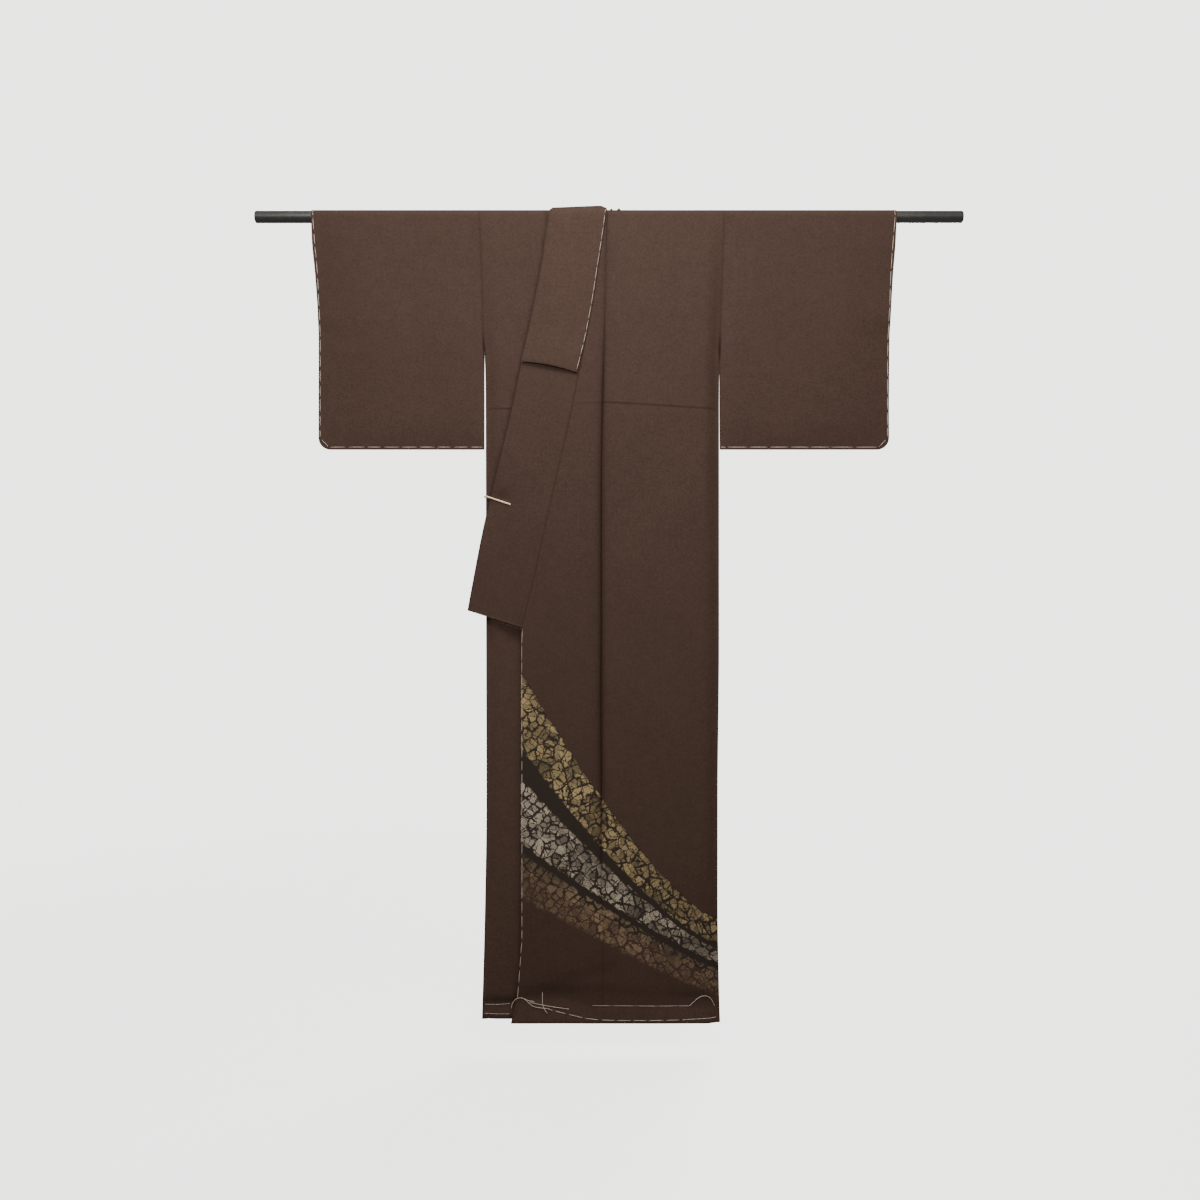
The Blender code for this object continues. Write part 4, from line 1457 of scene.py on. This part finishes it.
def overCollarPoint(down, share):
    # down is the share of its length from the rod, and share runs from its seam edge to its free edge
    seamDrop = down * overCollar["length"]
    freeDrop = seamDrop * overCollar["slant"]
    crown = math.sin(math.pi * share)
    drop = blend(seamDrop, freeDrop, share) - overCollar["endArch"] * crown * ease(overCollar["archFrom"], 1.0, down)
    x = blend(overCollarEdges["seam"](seamDrop), overCollarEdges["free"](freeDrop), share)
    looseOnRod = hang["overCollarOnRod"] - hang["collarOnRod"] - overCollar["clear"]
    loose = looseOnRod * fall(0.0, overCollar["looseTo"], drop)
    least, more = overCollar["liftMiddle"]
    lifted = overCollar["endLift"] * ease(overCollar["liftFrom"], 1.0, down) * (least + more * crown)
    return Vector((x, -collarDepth(x, drop) - overCollar["clear"] - loose - lifted, -drop))


def overCollarRadius(angle, share):
    sewn, inner, outer = overCollar["topRise"]
    rise = blend(sewn, blend(inner, outer, share), ease(0.0, overCollar["sewnTo"], share))
    return hang["overCollarOnRod"] + rise * math.sin(angle) ** 2


def makeOverCollar():
    first, count = overCollar["rows"]
    downs = [first + (1.0 - first) * k / count for k in range(count + 1)]
    rows = overRod(downs, (0.009, 0.018, 0.027, overCollar["outside"]), collar["turns"])
    edges = (overCollarEdges["seam"](0.0), overCollarEdges["free"](0.0))

    def place(row, share):
        if row[1] == 0.0 or not isFront(row):
            return collarOverRod(row, share, overCollarRadius(row[0], share), edges, overCollar["topFree"],
                                 overCollar["outside"])
        return overCollarPoint(row[1], share)

    def flat(row, share):
        angle, value = row
        length = angle * hang["overCollarOnRod"] + (-value * overCollar["length"] if isFront(row) else value)
        return (weaveStart["overCollar"] + share * overCollar["columns"][0], length)

    piece = makeSheet("overCollar", rows, spaced(*overCollar["columns"]), place, flat, overCollar["wall"], paintedLitFlapSilk,
                      roundEdge=0.0003)
    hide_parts("over_collar")
    return piece


clothPieces = [makeBodyLeft(), makeBodyRight(), makeSleeve("left"), makeSleeve("right"), makeOverlapLeft(),
               makeOverlapRight(), makeCollarLeft(), makeCollarRight(), makeCollarBack(), makeOverCollar()]
for piece in clothPieces:
    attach(piece, "root")
print("cloth hung")


# Basting: long stitches of soft thread, left in until the garment is worn

basting = {
    "radius": 0.00042,
    "thin": 0.75,
    "thinner": 0.82,
    "bow": 0.0005,
    "lift": 0.0001,
    "least": 0.002,
    "past": 0.0012,  # how far the threads run on at each end of a stitch on a sleeve
    "sides": 6,
    "rings": 6,
    "roughness": 0.85,
    "tones": ((0.42, 0.36, 0.29), (0.74, 0.68, 0.60)),
}
frontward, backward = Vector((0, -1, 0)), Vector((0, 1, 0))


def stitch(bm, start, end, outside, share=1.0):
    along = end - start
    length = along.length
    if length < basting["least"]:
        return
    side = along.cross(outside).normalized()
    turn = Matrix((side, outside.normalized(), along.normalized())).transposed().to_4x4()
    middle = Matrix.Translation((start + end) / 2) @ turn
    made = bmesh.ops.create_uvsphere(bm, u_segments=basting["sides"], v_segments=basting["rings"], radius=1.0)
    for vert in made["verts"]:
        x, y, z = vert.co
        thick = share * basting["radius"] * (1.0 if abs(z) < 0.9 else 0.8)
        vert.co = middle @ Vector((x * thick, y * thick + basting["bow"] * (1.0 - z * z), z * length / 2))


def walk(points, stitchLength, gapLength, seed):
    # (start, end) places of stitches along a line of points, a little uneven
    chance = random.Random(seed)
    lengths = [0.0]
    for before, after in zip(points, points[1:]):
        lengths.append(lengths[-1] + (after - before).length)

    def at(distance):
        k = max(i for i in range(len(points) - 1) if lengths[i] <= distance)
        span = lengths[k + 1] - lengths[k]
        return points[k].lerp(points[k + 1], min(1.0, (distance - lengths[k]) / span))

    place = chance.uniform(0.0, gapLength)
    while place < lengths[-1] - 0.004:
        stop = min(lengths[-1], place + stitchLength * chance.uniform(0.86, 1.14))
        yield at(place), at(stop)
        place = stop + gapLength * chance.uniform(0.75, 1.25)


def sewAlong(bm, points, stitchLength, gapLength, seed, outside=None, past=0.0, share=1.0):
    # Without outside given, each stitch faces away from the rod's axis
    for start, end in walk(points, stitchLength, gapLength, seed):
        over = (end - start).normalized() * past
        faced = outside or Vector((0.0, start.y + end.y, start.z + end.z))
        stitch(bm, start - over, end + over, faced, share)


def sewBothSides(bm, front, back, stitchLength, gapLength, seed):
    # Long on the face, and short where the thread crosses the gap behind
    last = None
    for (start, end), (backStart, backEnd) in zip(walk(front, stitchLength, gapLength, seed),
                                                  walk(back, stitchLength, gapLength, seed)):
        over = (end - start).normalized() * basting["past"]
        stitch(bm, start - over, end + over, frontward)
        if last is not None:
            stitch(bm, last, backStart, backward)
        last = backEnd


def asThread(mesh, name):
    mesh.shade_smooth()
    piece = linked(name, mesh)
    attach(piece, "root")
    return piece


def threadPiece(name, fill):
    bm = bmesh.new()
    fill(bm)
    bmesh.ops.recalc_face_normals(bm, faces=bm.faces)
    return asThread(meshOf(bm, name, threadFinish), name)


def makeThreadFinish():
    material, tree, shader = newMaterial("bastingThread", Roughness=basting["roughness"])
    place = onPiece(tree)
    fibres = remap(tree, noisy(tree, place, 900.0, 2.0, 0.6), 0.3, 0.7, smooth=False)
    feedAll(tree, shader, {"Base Color": mixed(tree, fibres, *basting["tones"])})
    bumped(tree, noisy(tree, place, 1500.0, 2.0), 0.0002, 0.5, shader)
    return material


threadFinish = makeThreadFinish()


# Along each cuff, along the bottom of each sleeve and round its corner
cuffTable = (("drop", "inset"), (0.000, 0.0038), (0.076, 0.0056), (0.138, 0.0044), (0.170, 0.0035), (0.440, 0.0034))
fromCuff = reader(cuffTable)["inset"]
sleeveBasting = {
    # stitch, gap, seed
    "cuff": {"left": (0.0300, 0.0052, 11), "right": (0.0225, 0.0080, 12)},
    "bottom": {"left": (0.0400, 0.0045, 13), "right": (0.0280, 0.0066, 14)},
    "overRod": (0.0055, 0.0002, 15),
    "cuffPoints": (0.001, 0.006, 74),
    "fromBottom": 0.0050,
    "bottomEnds": (0.0200, 0.0030),  # in from the cuff's line, and from the seam
    "corner": ((0.0030, 0.0150), (0.0165, 0.0010)),  # in from the cuff's line, and up from the bottom's
}


def onSleeve(side, sign, places):
    # Drops above 0 are angles round the rod
    face = "Sleeve" if sign < 0 else "SleeveBack"
    lift = sleeve["wall"] / 2 + basting["lift"]
    points = []
    for x, drop in places:
        if drop < 0.0:
            points.append(Vector(onRod(-drop, x, hang["onRod"] + lift)) * Vector((1, -sign, 1)))
        else:
            points.append(Vector((x, sign * (sleeveDepth(side, face, x, drop) + lift), -drop)))
    return points


def fillSleeves(side):
    out = outward(side)
    first, step, count = sleeveBasting["cuffPoints"]
    cuff = [(sleeveEdges[side + "Cuff"](drop) - out * fromCuff(drop), drop)
            for drop in [first + step * k for k in range(count)]]
    overTop = [(cuff[0][0], -math.pi / 2 * k / 12) for k in range(12, 0, -1)] + [cuff[0]]
    low = sleeve["drop"] - sleeveBasting["fromBottom"]
    atCuff, atSeam = sleeveBasting["bottomEnds"]
    start, stop = cuff[-1][0] - out * atCuff, sleeveInner(side, low) + out * atSeam
    bottom = [(blend(start, stop, k / 40), low) for k in range(41)]
    corner = [(cuff[-1][0] - out * inset, low - up) for inset, up in sleeveBasting["corner"]]

    def fill(bm):
        for line, name in ((cuff, "cuff"), (bottom, "bottom")):
            sewBothSides(bm, onSleeve(side, -1, line), onSleeve(side, 1, line), *sleeveBasting[name][side])
        stitch(bm, *onSleeve(side, -1, corner), frontward)
        for sign in (-1, 1):
            sewAlong(bm, onSleeve(side, sign, overTop), *sleeveBasting["overRod"])
    return fill


def between(stops, step=0.004):
    # Places close together along a line through the stops
    places = []
    for (x0, drop0), (x1, drop1) in zip(stops, stops[1:]):
        count = max(1, round(math.hypot(x1 - x0, drop1 - drop0) / step))
        places += [(blend(x0, x1, k / count), blend(drop0, drop1, k / count)) for k in range(count)]
    return places + [stops[-1]]


def frontAt(x, drop):
    return leftFront(x, drop) if x > overlapSeam(drop) else overlapDepth(x, drop)


# Rows on the skirt: the stops that each runs through as (x, drop), and then the cloth that it lies on, stitch, gap,
# how far the thread runs on at each end of a stitch, seed and thickness
skirtBasting = (
    # down the overlap's front edge, first along the collar's end
    (((-0.1727, 0.8225), (-0.1738, 0.838), (-0.1738, 0.912)), frontAt, 0.0300, 0.0006, 0.0, 20, basting["thin"]),
    (((-0.1738, 0.914), (-0.1735, 1.100), (-0.1735, 1.440), (-0.1800, 1.530), (-0.1830, 1.566)),
     frontAt, 0.0240, 0.0045, 0.0, 21, 1.0),
    # above the hem, and along it from both ends
    (((-0.034, 1.5745), (0.060, 1.5750), (0.158, 1.5755)), frontAt, 0.0440, 0.0004, 0.0022, 22, basting["thin"]),
    (((0.1445, 1.6024), (0.100, 1.6035), (0.020, 1.6035), (-0.036, 1.602), (-0.067, 1.5948), (-0.0956, 1.5885),
      (-0.1210, 1.5818)), frontAt, 0.0270, 0.0036, 0.0003, 24, 1.0),
    (((0.2140, 1.5990), (0.1836, 1.6003), (0.1470, 1.6024)), frontAt, 0.0100, 0.0003, 0.0012, 27, 1.0),
    # on the right front, which shows beside the overlap
    (((-0.2480, 1.5735), (-0.2300, 1.5740), (-0.2150, 1.5732), (-0.1990, 1.5718)),
     rightFront, 0.0100, 0.0003, 0.0014, 25, basting["thin"]),
    (((-0.2490, 1.592), (-0.1985, 1.592)), rightFront, 0.0100, 0.0003, 0.0014, 26, basting["thin"]),
)


def fillSkirt(bm):
    lift = overlap["wall"] / 2 + basting["lift"]
    for stops, depthAt, length, gap, past, seed, share in skirtBasting:
        points = [Vector((x, -depthAt(x, drop) - lift, -drop)) for x, drop in between(stops)]
        sewAlong(bm, points, length, gap, seed, frontward, past, share)


overCollarBasting = {
    "row": (0.0250, 0.0014, 31),
    "overRod": (0.0080, 0.0002, 32),
    "from": 0.004,
    "to": 0.997,
    "across": 0.014,
    "inset": 0.0016,
    "angles": (1.5, 1.2, 0.9, 0.6, 0.3, 0.0),
}


def fillOverCollar(bm):
    lift = overCollar["wall"] / 2 + basting["lift"]
    first, last = overCollarBasting["from"], overCollarBasting["to"]
    line = [overCollarPoint(blend(first, last, k / 60), overCollarBasting["across"]) + frontward * lift
            for k in range(61)]
    overTop = []
    for angle in overCollarBasting["angles"]:
        turned = ease(0.0, math.pi / 2, angle)
        x = blend(overCollarEdges["seam"](0.0), across["neckLeft"] - seam["gap"], turned) - overCollarBasting["inset"]
        overTop.append(Vector(onRod(angle, x, overCollarRadius(angle, 0.0) + lift)))
    for points, row in ((overTop, "overRod"), (line, "row")):
        for start, end in walk(points, *overCollarBasting[row]):
            stitch(bm, start, end, Vector((0.0, start.y + end.y, 0.0)), basting["thinner"])


# Loose end of the basting, where it was last tied off: each run is (x, drop, out from the cloth)
looseEnds = {
    "radius": 0.00040,
    "runs": (
        ((-0.1945, 1.5790, 0.0004), (-0.1940, 1.5705, 0.0014), (-0.1870, 1.5590, 0.0022), (-0.1740, 1.5575, 0.0016),
         (-0.1650, 1.5635, 0.0014), (-0.1580, 1.5710, 0.0020), (-0.1510, 1.5765, 0.0024), (-0.1380, 1.5790, 0.0018),
         (-0.1190, 1.5810, 0.0006)),
        ((-0.1700, 1.5605, 0.0008), (-0.1640, 1.5630, 0.0022), (-0.1580, 1.5650, 0.0026), (-0.1530, 1.5655, 0.0022),
         (-0.1490, 1.5668, 0.0012)),
        ((-0.1580, 1.5680, 0.0006), (-0.1420, 1.5715, 0.0022), (-0.1200, 1.5755, 0.0028), (-0.1000, 1.5785, 0.0024),
         (-0.0800, 1.5812, 0.0014)),
        ((-0.1328, 1.5480, 0.0010), (-0.1328, 1.5600, 0.0020), (-0.1335, 1.5735, 0.0028), (-0.1285, 1.5825, 0.0030),
         (-0.1230, 1.5895, 0.0018)),
        ((0.1600, 1.5755, 0.0002), (0.1680, 1.5690, 0.0006), (0.1760, 1.5600, 0.0016), (0.1860, 1.5545, 0.0022),
         (0.1970, 1.5550, 0.0020), (0.2060, 1.5630, 0.0012), (0.2105, 1.5765, 0.0004)),
    ),
}


def makeLooseThread():
    curve = bpy.data.curves.new("looseThread", "CURVE")
    curve.dimensions = "3D"
    curve.bevel_depth = looseEnds["radius"]
    curve.bevel_resolution = 2
    curve.resolution_u = 6
    curve.use_fill_caps = True
    for run in looseEnds["runs"]:
        spline = curve.splines.new("NURBS")
        spline.points.add(len(run) - 1)
        spline.order_u = 4
        spline.use_endpoint_u = True
        for point, (x, drop, out) in zip(spline.points, run):
            point.co = (x, -frontAt(x, drop) - overlap["wall"] / 2 - out, -drop, 1.0)
    holder = linked("looseThreadCurve", curve)
    mesh = applied(holder)
    bpy.data.objects.remove(holder)
    mesh.name = "looseThread"
    mesh.materials.clear()
    mesh.materials.append(threadFinish)
    return asThread(mesh, "looseThread")


for name, fill in (("bastingSleeveLeft", fillSleeves("left")), ("bastingSleeveRight", fillSleeves("right")),
                   ("bastingSkirt", fillSkirt), ("bastingOverCollar", fillOverCollar)):
    threadPiece(name, fill)
makeLooseThread()
print("basting sewn")


# Rod and clip keep their own shapes and get their finishes

rodFinish = {
    "colour": (0.018, 0.017, 0.015), "worn": (0.026, 0.023, 0.020), "roughness": (0.36, 0.46), "coat": (0.15, 0.20),
    "grain": (6.0, 260.0, 260.0), "bump": (0.0001, 0.10),
}
clipFinish = {
    "dark": (0.48, 0.33, 0.20), "light": (0.76, 0.58, 0.39), "roughness": 0.45,
    "grain": (60.0, 900.0, 900.0), "bump": (0.0002, 0.4),
}


def makeLacquer():
    coat, coatRoughness = rodFinish["coat"]
    material, tree, shader = newMaterial("blackLacquer", Coat_Weight=coat, Coat_Roughness=coatRoughness)
    place = onPiece(tree)
    grain = noisy(tree, stretched(tree, place, rodFinish["grain"]), 1.0, 3.0)
    dust = remap(tree, noisy(tree, place, 70.0, 4.0, 0.7), 0.45, 0.75)
    colour = mixed(tree, times(tree, dust, 0.6), rodFinish["colour"], rodFinish["worn"])
    roughness = remap(tree, dust, 0.0, 1.0, *rodFinish["roughness"], smooth=False)
    feedAll(tree, shader, {"Base Color": colour, "Roughness": roughness})
    bumped(tree, grain, *rodFinish["bump"], shader)
    return material


def makeBamboo():
    material, tree, shader = newMaterial("bamboo", Roughness=clipFinish["roughness"])
    grain = noisy(tree, stretched(tree, onPiece(tree), clipFinish["grain"]), 1.0, 4.0, 0.6)
    colour = mixed(tree, remap(tree, grain, 0.3, 0.7), clipFinish["dark"], clipFinish["light"])
    feedAll(tree, shader, {"Base Color": colour})
    bumped(tree, grain, *clipFinish["bump"], shader)
    return material


for nodeName, finish in (("rod", makeLacquer()), ("fold_clip", makeBamboo())):
    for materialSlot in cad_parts[nodeName].material_slots:
        materialSlot.material = finish
print("rod and clip finished")


# Room, light and camera

room = {
    "floorZ": -1.660, "radius": 4.0, "clearFrom": 1.0, "clearTo": 3.4,
    "floor": (0.22, 0.217, 0.21), "floorDarker": (0.18, 0.174, 0.168), "glow": 2.75,
    "white": (1.0, 0.985, 0.965), "seenStrength": 3.3, "lightStrength": 0.20,
}


def isCameraRay(tree):
    return newNode(tree, "ShaderNodeLightPath").outputs["Is Camera Ray"]


def makeFloor():
    material, tree, shader = newMaterial("paleFloor", Roughness=0.6, Specular_IOR_Level=0.2,
                                         Emission_Color=room["white"])
    place = onPiece(tree)
    grain = times(tree, noisy(tree, place, 30.0, 3.0), 0.10)
    flatPlace = vectorMaths(tree, "MULTIPLY", place, (1.0, 1.0, 0.0))[0]
    far = vectorMaths(tree, "LENGTH", flatPlace)["Value"]
    feedAll(tree, shader, {
        "Base Color": mixed(tree, grain, room["floor"], room["floorDarker"]),
        "Alpha": remap(tree, far, room["clearFrom"], room["clearTo"], 1.0, 0.0),
        "Emission Strength": times(tree, isCameraRay(tree), room["glow"])})
    bm = bmesh.new()
    bmesh.ops.create_circle(bm, cap_ends=True, segments=96, radius=room["radius"],
                            matrix=Matrix.Translation((0.0, 0.0, room["floorZ"])))
    linked("floor", meshOf(bm, "floor", material))


def makeWorld():
    world = bpy.data.worlds.new("studio")
    bpy.context.scene.world = world
    world.use_nodes = True
    tree = world.node_tree
    tree.nodes.clear()
    fill, seen = (newNode(tree, "ShaderNodeBackground", Color=room["white"], Strength=room[strength]).outputs[0]
                  for strength in ("lightStrength", "seenStrength"))
    mix = newNode(tree, "ShaderNodeMixShader", (isCameraRay(tree), fill, seen))
    newNode(tree, "ShaderNodeOutputWorld", (mix.outputs[0],))


lights = {
    "key": {"at": (-0.10, -1.60, 0.44), "towards": (-0.03, 0.0, -0.70), "size": (1.5, 0.7), "power": 58.0,
            "colour": (1.0, 0.97, 0.93)},
    "above": {"at": (-0.05, -0.90, 1.60), "towards": (0.0, 0.0, -0.40), "size": (1.6, 0.8), "power": 37.0,
              "colour": (1.0, 0.975, 0.94)},
    "behind": {"at": (1.1, 2.3, 0.25), "towards": (0.0, 0.0, -0.75), "size": (1.4, 0.9), "power": 150.0,
               "colour": (1.0, 0.98, 0.96)},
}

camera = {"at": (-0.018, -2.600, -0.766), "lens": 39.0, "sensor": 36.0}


def makeLights():
    for name, setting in lights.items():
        lamp = bpy.data.lights.new(name, "AREA")
        lamp.shape = "RECTANGLE"
        lamp.size, lamp.size_y = setting["size"]
        lamp.energy = setting["power"]
        lamp.color = setting["colour"]
        holder = linked(name, lamp)
        holder.location = setting["at"]
        aim = Vector(setting["towards"]) - Vector(setting["at"])
        holder.rotation_euler = aim.to_track_quat("-Z", "Y").to_euler()


def makeCamera():
    lens = bpy.data.cameras.new("camera")
    lens.lens = camera["lens"]
    lens.sensor_width = camera["sensor"]
    holder = linked("camera", lens)
    holder.location = camera["at"]
    holder.rotation_euler = (math.pi / 2, 0.0, 0.0)
    bpy.context.scene.camera = holder


makeFloor()
makeWorld()
makeLights()
makeCamera()
print("room lit")
